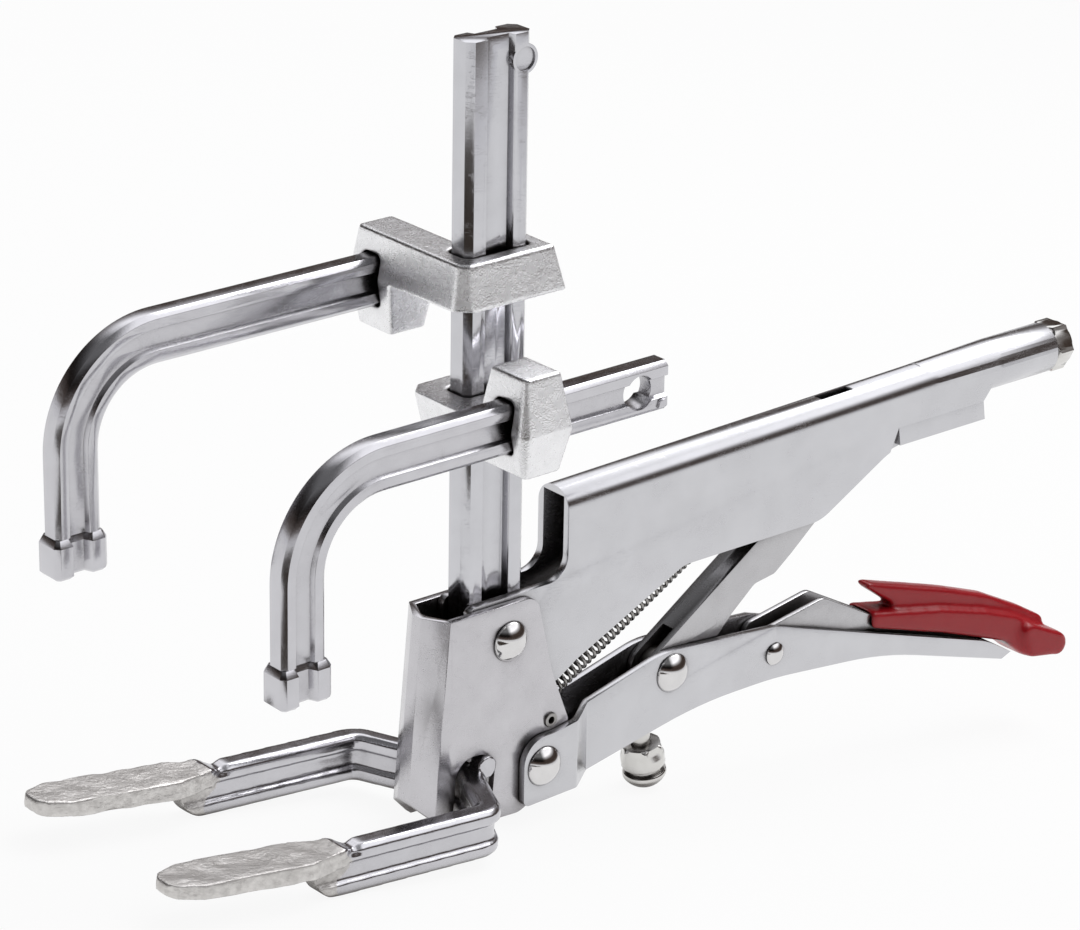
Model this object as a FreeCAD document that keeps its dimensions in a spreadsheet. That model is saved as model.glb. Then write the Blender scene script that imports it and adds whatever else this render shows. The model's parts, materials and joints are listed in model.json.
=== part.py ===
import FreeCAD, Part
import math
import os
import re
import Sketcher

Vec = FreeCAD.Vector
os.makedirs("parts", exist_ok=True)
doc = FreeCAD.newDocument("WeldingLockingPliers")

# Axes: X points forward to the jaws, Z up along the rail, Y to the side that shows the rivet heads.
# The tool frame has its origin on the rail's centre line, at the height of the main pivot.

# Driving dimensions in millimetres and degrees
DRIVING = [
    ("rail_wide", 22, "rail, wide face"),
    ("rail_thick", 9, "rail, narrow face"),
    ("rail_groove", 9.6, "rail, width of the groove in each wide face"),
    ("rail_groove_deep", 2, "rail, depth of the groove"),
    ("rail_edge", 1.9, "rail, chamfer along its four edges"),
    ("rail_head", 175.5, "rail, top end above the main pivot"),
    ("rail_foot", 9.5, "rail, bottom end below the main pivot"),
    ("rail_stop_radius", 4.3, "rail, radius of the peened stop at its head"),
    ("rail_stop_out", 1.5, "rail, how far the stop stands out behind the rail"),
    ("rail_stop_thick", 3, "rail, thickness of the stop"),
    ("rail_stop_drop", 7.5, "rail, middle of the stop below the head"),
    ("rail_stop_rim", 0.9, "rail, rim left round the punch mark in the stop"),
    ("rail_stop_deep", 0.8, "rail, depth of the punch mark"),
    ("bar_wide", 14.4, "arm and fork bar, wide face"),
    ("bar_thick", 7.4, "arm and fork bar, narrow face"),
    ("bar_groove", 6.2, "arm and fork bar, width of the groove"),
    ("bar_groove_deep", 1.4, "arm and fork bar, depth of the groove"),
    ("bar_edge", 1.4, "arm and fork bar, chamfer along its edges"),
    ("arm_reach", 124.9, "arm, from the tail end to the middle of the foot"),
    ("arm_drop", 61.2, "arm, from the middle of the run to the bottom of the foot"),
    ("arm_bend", 27, "arm, bend radius on the centre line"),
    ("arm_foot_high", 11.5, "arm, height of the upset foot"),
    ("arm_foot_swell", 1.25, "arm, how far the foot stands out all round"),
    ("arm_foot_neck", 2, "arm, height of the slope above the foot"),
    ("arm_foot_toe", 1, "arm, height of the slope at the bottom of the foot"),
    ("arm_hole", 5, "arm, radius of the hole in the tail"),
    ("arm_hole_back", 10, "arm, hole from the tail end"),
    ("arm_nib", 1.5, "arm, size of the peened stop nib"),
    ("upper_arm_tail", -6.6, "upper arm, place of its tail end along X"),
    ("lower_arm_tail", -37.4, "lower arm, place of its tail end along X"),
    ("slide_front", 16.9, "slide, front face before the rail's middle"),
    ("slide_back", 15.4, "slide, back face behind the rail's middle"),
    ("slide_half", 9.75, "slide, half width of the rail block"),
    ("slide_corner", 4.2, "slide, big corner chamfer of the rail block"),
    ("slide_block_out", 37, "slide, outer face of the arm block"),
    ("slide_block_in", 21.8, "slide, inner face of the arm block"),
    ("slide_block_back", 4.6, "slide, back face of the arm block"),
    ("slide_high", 13, "slide, height of the rail block"),
    ("slide_block_high", 29, "slide, height of the arm block"),
    ("slide_draft", 11.2, "slide, draft angle from the parting line"),
    ("slide_slack", 0.28, "slide, play round the rail and round the arm"),
    ("slide_arm_side", 29.2, "slide, middle of the arm from the rail's middle"),
    ("slide_arm_down", 13.9, "slide, middle of the arm from the flush face"),
    ("upper_slide_top", 115.4, "upper slide, flush face above the main pivot"),
    ("lower_slide_foot", 62.2, "lower slide, flush face above the main pivot"),
    ("handle_wide", 13.6, "upper handle, outer width of the folded sheet"),
    ("handle_sheet", 2.3, "upper handle, sheet thickness"),
    ("bend_flat", 0.8, "upper handle, flat left along the top of the fold"),
    ("handle_front", 11.5, "upper handle, front end of its side plates"),
    ("handle_cheek_high", 12.4, "upper handle, top of the plates beside the rail"),
    ("handle_cheek_low", 13.5, "upper handle, bottom of the plates beside the rail"),
    ("handle_mouth", 25, "upper handle, front end of the fold behind the rail's middle"),
    ("handle_top", 38.8, "upper handle, height of the fold at its front end"),
    ("handle_heel_back", 21, "upper handle, lowest corner of the plates behind the rail"),
    ("handle_heel_low", 19, "upper handle, lowest corner of the plates below the pivot"),
    ("handle_waist_back", 69.5, "upper handle, start of the straight lower edge"),
    ("handle_waist", 4.6, "upper handle, height of the straight lower edge"),
    ("handle_grip_back", 124, "upper handle, end of the straight lower edge"),
    ("handle_neck_back", 151, "upper handle, start of the narrow neck"),
    ("handle_neck", 18.4, "upper handle, lower edge of the neck"),
    ("handle_lip_back", 191, "upper handle, end of the flared lips"),
    ("handle_lip", 21.4, "upper handle, lower edge at the end of the lips"),
    ("handle_lip_high", 5.5, "upper handle, height of the flared lips"),
    ("handle_lip_flare", 2.2, "upper handle, how far the lips flare out"),
    ("tube_start", 198, "upper handle, start of the round tube"),
    ("tube_end", 222, "upper handle, rear end of the tube"),
    ("tube_radius", 7.8, "upper handle, outer radius of the tube"),
    ("tube_axis", 35.5, "upper handle, axis of the tube above the pivot"),
    ("tube_slit", 2, "upper handle, width of the seam under the tube"),
    ("tube_cone", 30, "upper handle, length of the cone before the tube"),
    ("top_slot_front", 127, "upper handle, front end of the slot in the fold"),
    ("top_slot_long", 13, "upper handle, length of that slot"),
    ("top_slot_wide", 3.4, "upper handle, width of that slot"),
    ("pivot_back", 2, "main pivot behind the rail's middle"),
    ("side_gap", 0.25, "play between plates that turn on each other"),
    ("pin_gap", 0.06, "radial play of a pin in its holes"),
    ("jaw_tilt", 5, "movable jaw, turned up at the front"),
    ("jaw_sheet", 2.4, "jaw housing, sheet thickness"),
    ("jaw_nose", 27.3, "jaw housing, front of the nose"),
    ("jaw_nose_half", 1.8, "jaw housing, half width of the flat on the nose"),
    ("jaw_shoulder", 22.6, "jaw housing, fold between nose and side plate"),
    ("jaw_rim_front", 9.2, "jaw housing, height of the rim at the nose"),
    ("jaw_rim", 12.2, "jaw housing, height of the rim at the back"),
    ("jaw_rim_back", 8.6, "jaw housing, upper back corner"),
    ("jaw_heel_back", 24.6, "jaw housing, back edge at the spring pin"),
    ("jaw_base", 55.3, "jaw housing, bottom below the pivot"),
    ("jaw_slot_front", 15.9, "jaw housing, front of the slot for the fork"),
    ("jaw_slot_back", 1.8, "jaw housing, back of the slot for the fork"),
    ("jaw_slot_top", 33.2, "jaw housing, top of the slot below the pivot"),
    ("fork_bar", 9, "fork, middle of the cross bar before the pivot"),
    ("fork_elbow_side", 7, "fork, elbow of the cross bar from the middle plane"),
    ("fork_elbow", 10, "fork, bend radius at that elbow"),
    ("fork_corner", 20.8, "fork, corner of the U before the pivot"),
    ("fork_low", 44.8, "fork, middle of the bar below the pivot"),
    ("fork_half", 30.7, "fork, middle of each prong from the middle plane"),
    ("fork_bend", 6, "fork, bend radius on the centre line at the corner of the U"),
    ("fork_prong", 84, "fork, front end of the straight bar"),
    ("fork_bow", 9, "fork, round of the bar's lower front corner"),
    ("fork_tip", 133, "fork, front end of the pads"),
    ("fork_pad_start", 73, "fork, rear end of the pads on top of the bar"),
    ("fork_pad_wide", 15.4, "fork, width of the flattened pads"),
    ("fork_pad_thick", 5.4, "fork, thickness of the flattened pads"),
    ("fork_pad_rise", 3, "fork, how far the pads rise to the tip"),
    ("weld_radius", 3.4, "fork, radius of the weld beads in the slot"),
    ("lever_pivot_back", 14.7, "lower handle pivot behind the main pivot, in the jaw"),
    ("lever_pivot_low", 40.2, "lower handle pivot below the main pivot, in the jaw"),
    ("lever_sheet", 2.2, "lower handle, sheet thickness"),
    ("lever_wide", 13.6, "lower handle, outer width of the channel"),
    ("lever_lobe", 9.2, "lower handle, radius of the front lobe"),
    ("lever_joggle", 12.3, "lower handle, start of the step in its plates"),
    ("lever_joggle_long", 8, "lower handle, length of the step"),
    ("lever_crest_back", 50, "lower handle, top of the crest behind its pivot"),
    ("lever_crest", 18.8, "lower handle, height of the crest above its pivot"),
    ("lever_belly", 1, "lower handle, underside below its pivot in the middle"),
    ("lever_sweep", 150, "lower handle, radius of the curves of its underside"),
    ("lever_tail_back", 197, "lower handle, rear end behind its pivot"),
    ("lever_tail_low", 22.6, "lower handle, rear end below its pivot"),
    ("lever_tail_high", 5, "lower handle, height of the rear end"),
    ("link_pivot_back", 53, "link pivot behind the lower handle's pivot"),
    ("link_pivot_high", 12.4, "link pivot above the lower handle's pivot"),
    ("link_length", 104, "toggle link, from its pivot to its tip"),
    ("link_angle", 145.5, "toggle link, direction from its pivot"),
    ("link_sheet", 2, "toggle link, sheet thickness"),
    ("link_half", 7.5, "toggle link, half width"),
    ("link_waist", 4, "toggle link, back edge at the waist"),
    ("link_tip", 4.4, "toggle link, half width at the tip"),
    ("release_pivot_back", 94.1, "release lever pivot behind the lower handle's pivot"),
    ("release_pivot_high", 6.9, "release lever pivot above the lower handle's pivot"),
    ("release_sheet", 1.8, "release lever, sheet thickness"),
    ("release_hump_back", 22, "release lever, top of the hump behind its pivot"),
    ("release_hump", 10.3, "release lever, top of the hump above its pivot"),
    ("grip_start", 41.5, "grip, front end behind the release pivot"),
    ("grip_beyond", 25.2, "grip, rear end behind the tail of the lower handle"),
    ("grip_wide", 12.4, "grip, width of the flanges"),
    ("grip_wing", 17, "grip, width of the wings at its rear end"),
    ("grip_rib", 6.4, "grip, width of the raised rib"),
    ("grip_rib_high", 6, "grip, height of the raised rib over the flanges"),
    ("rivet_radius", 4, "main rivets, shank radius"),
    ("rivet_head", 6, "main rivets, head radius"),
    ("rivet_dome", 3.4, "main rivets, head height"),
    ("small_rivet_radius", 2.2, "release rivet, shank radius"),
    ("small_rivet_head", 3.5, "release rivet, head radius"),
    ("small_rivet_dome", 1.8, "release rivet, head height"),
    ("spring_pin_back", 17.7, "spring pin behind the main pivot, in the jaw"),
    ("spring_pin_low", 27.4, "spring pin below the main pivot, in the jaw"),
    ("spring_pin_radius", 2.1, "spring pin, outer radius"),
    ("spring_pin_bore", 1.1, "spring pin, bore radius"),
    ("anchor_back", 92, "spring anchor behind the rail's middle"),
    ("anchor_high", 13, "spring anchor above the main pivot"),
    ("anchor_radius", 2.1, "spring anchor, radius"),
    ("spring_radius", 2.6, "tension spring, radius to the middle of the wire"),
    ("wire_radius", 0.5, "tension spring, wire radius"),
    ("spring_turns", 32, "tension spring, number of turns"),
    ("rail_pin_ahead", 6, "rail pin before the rail's middle"),
    ("rail_pin_up", 6.5, "rail pin above the main pivot"),
    ("rail_pin_radius", 2, "rail pin, radius"),
    ("bush_long", 18, "screw bush, length"),
    ("screw_radius", 4.3, "adjusting screw, shank radius"),
    ("screw_play", 0.3, "adjusting screw, play in the handle before its bush"),
    ("screw_neck", 0.5, "adjusting screw, shank between the tube and the hexagon"),
    ("screw_tip_back", 160, "adjusting screw, front tip"),
    ("screw_hex", 14.2, "adjusting screw, width of the hexagon across its flats"),
    ("screw_head", 7, "adjusting screw, length of the hexagon"),
    ("knob_back", 46, "stop screw behind the lower handle's pivot"),
    ("knob_lean", 9.8, "stop screw, lean of its axis"),
    ("knob_radius", 6.6, "stop screw, radius of the knob"),
    ("knob_drop", 8.2, "stop screw, top of the knob below the channel"),
    ("knob_body", 7.2, "stop screw, height of the hexagonal body"),
    ("knob_groove", 2, "stop screw, height of the groove"),
    ("knob_dome", 5.4, "stop screw, height of the domed cap"),
    ("knob_shank", 3, "stop screw, shank radius"),
    ("knob_reach", 5, "stop screw, shank inside the channel"),
    ("rest_pitch", 8.882, "whole tool, leaned forward as it rests on its prongs and knob"),
]

sheet = doc.addObject("Spreadsheet::Sheet", "Sizes")
for row, (alias, value, note) in enumerate(DRIVING, 1):
    sheet.set(f"A{row}", note)
    sheet.set(f"B{row}", str(value))
    sheet.setAlias(f"B{row}", alias)
doc.recompute()
ALIASES = {alias for alias, value, note in DRIVING}


def bind(text):
    """The expression with the sheet's name put before each of its aliases."""
    return re.sub(r"[a-z_]+", lambda m: "Sizes." + m.group() if m.group() in ALIASES else m.group(), str(text))


def val(text):
    """The present value of an expression in the sheet's aliases."""
    result = sheet.evalExpression(bind(text))
    return float(getattr(result, "Value", result))


# Sketch and feature helpers

def make_body(name):
    """An empty body whose Label is the name of its file."""
    body = doc.addObject("PartDesign::Body", name)
    body.Label = name
    return body


def make_sketch(body, role, name, offset=None):
    """A sketch on one of the body's own origin planes, moved along its normal by an expression."""
    sketch = body.newObject("Sketcher::SketchObject", name)
    plane = next(item for item in body.Origin.OriginFeatures if item.Role == role)
    sketch.AttachmentSupport = [(plane, "")]
    sketch.MapMode = "FlatFace"
    if offset is not None:
        sketch.setExpression("AttachmentOffset.Base.z", bind(offset))
    return sketch


def fix_point(sketch, index, end, across, up):
    """Ties a sketch point to two expressions, counted from the sketch's origin."""
    for kind, text in (("DistanceX", across), ("DistanceY", up)):
        number = sketch.addConstraint(Sketcher.Constraint(kind, -1, 1, index, end, val(text)))
        sketch.setExpression(f"Constraints[{number}]", bind(text))


def short_arc(sketch, centre, start, stop):
    """Adds the shorter arc between two points. Returns its number and which of its ends is at start and stop."""
    first, last = start - centre, stop - centre
    begin, end = math.atan2(first.y, first.x), math.atan2(last.y, last.x)
    sweep = (end - begin) % (2 * math.pi)
    ends = (1, 2)
    if sweep > math.pi:
        begin, sweep, ends = end, 2 * math.pi - sweep, (2, 1)
    circle = Part.Circle(centre, Vec(0, 0, 1), first.Length)
    return (sketch.addGeometry(Part.ArcOfCircle(circle, begin, begin + sweep)),) + ends


def draw_outline(sketch, corners):
    """A closed outline of lines. A corner is (across, up) or (across, up, radius), as expressions."""
    spots = [Vec(val(corner[0]), val(corner[1]), 0) for corner in corners]
    count = len(corners)
    marks, ends, arcs = [], [], []
    for number, corner in enumerate(corners):
        mark = sketch.addGeometry(Part.Point(spots[number]), True)
        fix_point(sketch, mark, 1, corner[0], corner[1])
        marks.append(mark)
        here = spots[number]
        if len(corner) < 3:
            ends.append((here, here))
            arcs.append(None)
            continue
        before = (spots[number - 1] - here).normalize()
        after = (spots[(number + 1) % count] - here).normalize()
        half = before.getAngle(after) / 2
        radius = val(corner[2])
        run = radius / math.tan(half)
        start, stop = here + before * run, here + after * run
        centre = here + (before + after).normalize() * (radius / math.sin(half))
        ends.append((start, stop))
        arcs.append((centre, start, stop))
    lines = [sketch.addGeometry(Part.LineSegment(ends[i][1], ends[(i + 1) % count][0])) for i in range(count)]
    for number, corner in enumerate(corners):
        previous, following = lines[number - 1], lines[number]
        if arcs[number] is None:
            sketch.addConstraint(Sketcher.Constraint("Coincident", previous, 2, marks[number], 1))
            sketch.addConstraint(Sketcher.Constraint("Coincident", following, 1, marks[number], 1))
            continue
        arc, first, last = short_arc(sketch, *arcs[number])
        sketch.addConstraint(Sketcher.Constraint("Tangent", previous, 2, arc, first))
        sketch.addConstraint(Sketcher.Constraint("Tangent", following, 1, arc, last))
        sketch.addConstraint(Sketcher.Constraint("PointOnObject", marks[number], 1, previous))
        sketch.addConstraint(Sketcher.Constraint("PointOnObject", marks[number], 1, following))
        size = sketch.addConstraint(Sketcher.Constraint("Radius", arc, val(corner[2])))
        sketch.setExpression(f"Constraints[{size}]", bind(corner[2]))
    return sketch


def draw_circle(sketch, across, up, radius):
    """A circle whose centre and radius are expressions."""
    centre = Vec(val(across), val(up), 0)
    number = sketch.addGeometry(Part.Circle(centre, Vec(0, 0, 1), val(radius)))
    fix_point(sketch, number, 3, across, up)
    size = sketch.addConstraint(Sketcher.Constraint("Radius", number, val(radius)))
    sketch.setExpression(f"Constraints[{size}]", bind(radius))
    return sketch


def pad(body, sketch, length, both=False, taper=None, reverse=False):
    """A pad whose length, and draft where given, are expressions."""
    feature = body.newObject("PartDesign::Pad", "Pad_" + sketch.Name)
    feature.Profile = sketch
    feature.setExpression("Length", bind(length))
    feature.Midplane = both
    feature.Reversed = reverse
    if taper is not None:
        feature.setExpression("TaperAngle", bind(taper))
    sketch.Visibility = False
    doc.recompute()
    return feature


def pocket(body, sketch, depth=None, both=True, reverse=False):
    """A pocket that has to take something away: through everything, or to a depth on one side."""
    before = body.Shape.Volume
    feature = body.newObject("PartDesign::Pocket", "Pocket_" + sketch.Name)
    feature.Profile = sketch
    if depth is None:
        feature.Type = "ThroughAll"
        feature.Midplane = both
    else:
        feature.setExpression("Length", bind(depth))
        feature.Midplane = both
    feature.Reversed = reverse
    sketch.Visibility = False
    doc.recompute()
    if body.Shape.Volume > before - 1e-3:
        raise ValueError(f"{feature.Label} takes nothing away")
    return feature


def round_edges(body, wanted, radius, kind="Fillet"):
    """A fillet, or a chamfer, on the edges of the tip that the test picks."""
    tip = body.Tip
    names = [f"Edge{number}" for number, edge in enumerate(tip.Shape.Edges, 1) if wanted(edge)]
    if not names:
        raise ValueError(f"{body.Label} has no edge to round")
    feature = body.newObject("PartDesign::" + kind, kind + "_" + body.Name)
    feature.Base = (tip, names)
    feature.setExpression("Radius" if kind == "Fillet" else "Size", bind(radius))
    doc.recompute()
    return feature


def solid_of(kind, name, **sizes):
    """A Part primitive with its sizes bound to expressions."""
    item = doc.addObject("Part::" + kind, name)
    for key, text in sizes.items():
        item.setExpression(key, bind(text))
    return item


def put(item, x=0, y=0, z=0, axis=Vec(0, 1, 0), angle=0):
    """Sets an object's Placement from expressions or numbers."""
    item.Placement = FreeCAD.Placement(Vec(val(x), val(y), val(z)), FreeCAD.Rotation(axis, val(angle)))
    return item


def fuse(name, items):
    """One object made of several that touch."""
    whole = doc.addObject("Part::MultiFuse", name)
    whole.Shapes = items
    whole.Label = name
    return whole


def cut(name, base, tool):
    """One object with another taken away from it."""
    rest = doc.addObject("Part::Cut", name)
    rest.Base = base
    rest.Tool = tool
    rest.Label = name
    return rest


# Number of sides of the rivet heads and of the knob's dome

DOME_SIDES = 24


# The bar section that the rail, the arms and the fork share

def bar_corners(wide, thick, groove, deep, edge, grow="0"):
    """Corners of a grooved bar, with its wide side along the sketch's first axis."""
    half_wide = f"({wide}/2 + {grow})"
    half_thick = f"({thick}/2 + {grow})"
    quarter = [
        (half_wide, f"({half_thick} - {edge})"),
        (f"({half_wide} - {edge})", half_thick),
        (f"({groove}/2)", half_thick),
        (f"({groove}/2 - {deep}*0.45)", f"({half_thick} - {deep})"),
    ]
    corners = [(x, y) for x, y in quarter]
    corners += [(f"-1*{x}", y) for x, y in reversed(quarter)]
    corners += [(f"-1*{x}", f"-1*{y}") for x, y in quarter]
    corners += [(x, f"-1*{y}") for x, y in reversed(quarter)]
    return corners


def turned(corners):
    """The same corners with their two axes swapped."""
    return [(y, x) for x, y in corners]


RAIL_BAR = bar_corners("rail_wide", "rail_thick", "rail_groove", "rail_groove_deep", "rail_edge")
SMALL_BAR = bar_corners("bar_wide", "bar_thick", "bar_groove", "bar_groove_deep", "bar_edge")
FOOT_BAR = bar_corners("bar_wide", "bar_thick", "bar_groove", "(bar_groove_deep + arm_foot_swell)",
                       "bar_edge", "arm_foot_swell")


# Rail: drawn profile bar, with the pivot hole and the peened stop at its head

def make_rail():
    body = make_body("rail")
    pad(body, draw_outline(make_sketch(body, "XY_Plane", "RailSection"), RAIL_BAR), "rail_head + rail_foot")
    hole = make_sketch(body, "XZ_Plane", "RailPivotHole")
    draw_circle(hole, "-1*pivot_back", "rail_foot", "rivet_radius + pin_gap")
    pocket(body, draw_circle(hole, "rail_pin_ahead", "rail_foot + rail_pin_up", "rail_pin_radius"))
    spot = ("rail_stop_radius - rail_stop_out - rail_wide/2", "rail_head + rail_foot - rail_stop_drop")
    stop = make_sketch(body, "XZ_Plane", "RailStop", "-1*rail_thick/2")
    pad(body, draw_circle(stop, *spot, "rail_stop_radius"), "rail_stop_thick")
    mark = make_sketch(body, "XZ_Plane", "RailStopMark", "-1*rail_thick/2")
    pocket(body, draw_circle(mark, *spot, "rail_stop_radius - rail_stop_rim"), "rail_stop_deep",
           both=False, reverse=True)
    return put(body, z="-1*rail_foot")


# Slides: one casting, used twice, drafted from a parting line at the bottom of the rail block

def slide_plan(grow):
    """Plan of the slide, grown sideways by an expression."""
    out, back = f"(slide_block_out + {grow})", f"(slide_back + {grow})"
    front, half = f"(slide_front + {grow})", f"(slide_half + {grow})"
    step = f"(slide_block_back - {grow})"
    return [
        (front, f"-1*({out} - slide_corner*0.6)"), (f"{front} - slide_corner*0.6", f"-1*{out}"),
        (step, f"-1*{out}"), (step, f"-1*{half}"), (f"-1*{back}", f"-1*{half}"),
        (f"-1*{back}", half), (f"{front} - slide_corner", half), (front, f"{half} - slide_corner"),
    ]


def block_plan(grow):
    """Plan of the arm block alone, grown sideways by an expression."""
    out, inner = f"(slide_block_out + {grow})", f"(slide_block_in - {grow})"
    front, back = f"(slide_front + {grow})", f"(slide_block_back - {grow})"
    return [
        (front, f"-1*({out} - slide_corner*0.6)"), (f"{front} - slide_corner*0.6", f"-1*{out}"),
        (back, f"-1*{out}"), (back, f"-1*{inner}"), (front, f"-1*{inner}"),
    ]


def window(left, right, low, high, edge):
    """Corners of a rectangle with its corners cut off."""
    return [
        (f"{right} - {edge}", low), (right, f"{low} + {edge}"), (right, f"{high} - {edge}"),
        (f"{right} - {edge}", high), (f"{left} + {edge}", high), (left, f"{high} - {edge}"),
        (left, f"{low} + {edge}"), (f"{left} + {edge}", low),
    ]


def make_slide(name):
    body = make_body(name)
    spread = "(slide_high*tan(slide_draft))"
    upper = draw_outline(make_sketch(body, "XY_Plane", name + "_plan", "-1*slide_high"), slide_plan(spread))
    pad(body, upper, "slide_high", taper="-1*slide_draft")
    lower = draw_outline(make_sketch(body, "XY_Plane", name + "_block", "-1*slide_high"), block_plan(spread))
    lower_draft = "-1*atan(slide_high*tan(slide_draft)/(slide_block_high - slide_high))"
    pad(body, lower, "slide_block_high - slide_high", taper=lower_draft, reverse=True)
    hole = make_sketch(body, "XY_Plane", name + "_rail_window")
    wide, thick = "(rail_wide/2 + slide_slack)", "(rail_thick/2 + slide_slack)"
    pocket(body, draw_outline(hole, window(f"-1*{wide}", wide, f"-1*{thick}", thick, "rail_edge*0.8")))
    port = make_sketch(body, "YZ_Plane", name + "_arm_window")
    near, far = "(slide_arm_side - bar_thick/2 - slide_slack)", "(slide_arm_side + bar_thick/2 + slide_slack)"
    high = "(slide_arm_down - bar_wide/2 - slide_slack)"
    low = "(slide_arm_down + bar_wide/2 + slide_slack)"
    pocket(body, draw_outline(port, window(f"-1*{far}", f"-1*{near}", f"-1*{low}", f"-1*{high}", "bar_edge*0.8")))
    return body


# Arms: one bent bar with an upset foot, a hole and a peened nib at the tail

def make_arm(name):
    body = make_body(name)
    section = make_sketch(body, "YZ_Plane", name + "_section")
    draw_outline(section, turned(SMALL_BAR))
    path = make_sketch(body, "XZ_Plane", name + "_path")
    draw_bend_path(path, "arm_reach", "arm_drop - arm_foot_high", "arm_bend")
    run = body.newObject("PartDesign::AdditivePipe", name + "_bar")
    run.Profile = section
    run.Spine = path
    doc.recompute()
    foot = make_sketch(body, "XY_Plane", name + "_foot", "arm_foot_toe - arm_drop")
    place_foot = [(f"arm_reach + {x}", y) for x, y in FOOT_BAR]
    pad(body, draw_outline(foot, place_foot), "arm_foot_high - arm_foot_neck - arm_foot_toe")
    toe = make_sketch(body, "XY_Plane", name + "_toe", "arm_foot_toe - arm_drop")
    toe_slope = "-1*atan(arm_foot_swell*0.8/arm_foot_toe)"
    pad(body, draw_outline(toe, place_foot), "arm_foot_toe", taper=toe_slope, reverse=True)
    neck = make_sketch(body, "XY_Plane", name + "_neck", "arm_foot_high - arm_foot_neck - arm_drop")
    pad(body, draw_outline(neck, place_foot), "arm_foot_neck", taper="-1*atan(arm_foot_swell*0.9/arm_foot_neck)")
    hole = make_sketch(body, "XZ_Plane", name + "_hole")
    pocket(body, draw_circle(hole, "arm_hole_back", "0", "arm_hole"))
    nib = make_sketch(body, "XZ_Plane", name + "_nib", "-1*bar_thick/2 - arm_nib*0.6")
    draw_outline(nib, [("arm_nib", "-1*bar_wide/2 + bar_edge"), ("arm_nib*2.6", "-1*bar_wide/2 + bar_edge"),
                       ("arm_nib*2.2", "-1*bar_wide/2 + bar_edge + arm_nib*1.4"),
                       ("arm_nib", "-1*bar_wide/2 + bar_edge + arm_nib*1.7")])
    pad(body, nib, "arm_nib", reverse=False)
    return body


def draw_bend_path(sketch, reach, drop, radius):
    """A run along the first axis, a quarter bend and a run down."""
    run, down, bend = val(reach), val(drop), val(radius)
    first = sketch.addGeometry(Part.LineSegment(Vec(0, 0, 0), Vec(run - bend, 0, 0)))
    arc, start, stop = short_arc(sketch, Vec(run - bend, -bend, 0), Vec(run - bend, 0, 0), Vec(run, -bend, 0))
    last = sketch.addGeometry(Part.LineSegment(Vec(run, -bend, 0), Vec(run, -down, 0)))
    sketch.addConstraint(Sketcher.Constraint("Coincident", first, 1, -1, 1))
    sketch.addConstraint(Sketcher.Constraint("Horizontal", first))
    sketch.addConstraint(Sketcher.Constraint("Vertical", last))
    sketch.addConstraint(Sketcher.Constraint("Tangent", first, 2, arc, start))
    sketch.addConstraint(Sketcher.Constraint("Tangent", last, 1, arc, stop))
    size = sketch.addConstraint(Sketcher.Constraint("Radius", arc, bend))
    sketch.setExpression(f"Constraints[{size}]", bind(radius))
    fix_point(sketch, last, 2, reach, f"-1*({drop})")


# Upper handle: sheet folded over the rail, closing to a tube at the rear

HANDLE_RISE = "((tube_axis + tube_radius - handle_top)/(tube_end - handle_mouth))"


def handle_roof(back, drop="0"):
    """Height of the fold at a distance behind the rail's middle, lowered by an expression."""
    return f"(handle_top + ({back} - handle_mouth)*{HANDLE_RISE} - {drop})"


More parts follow.
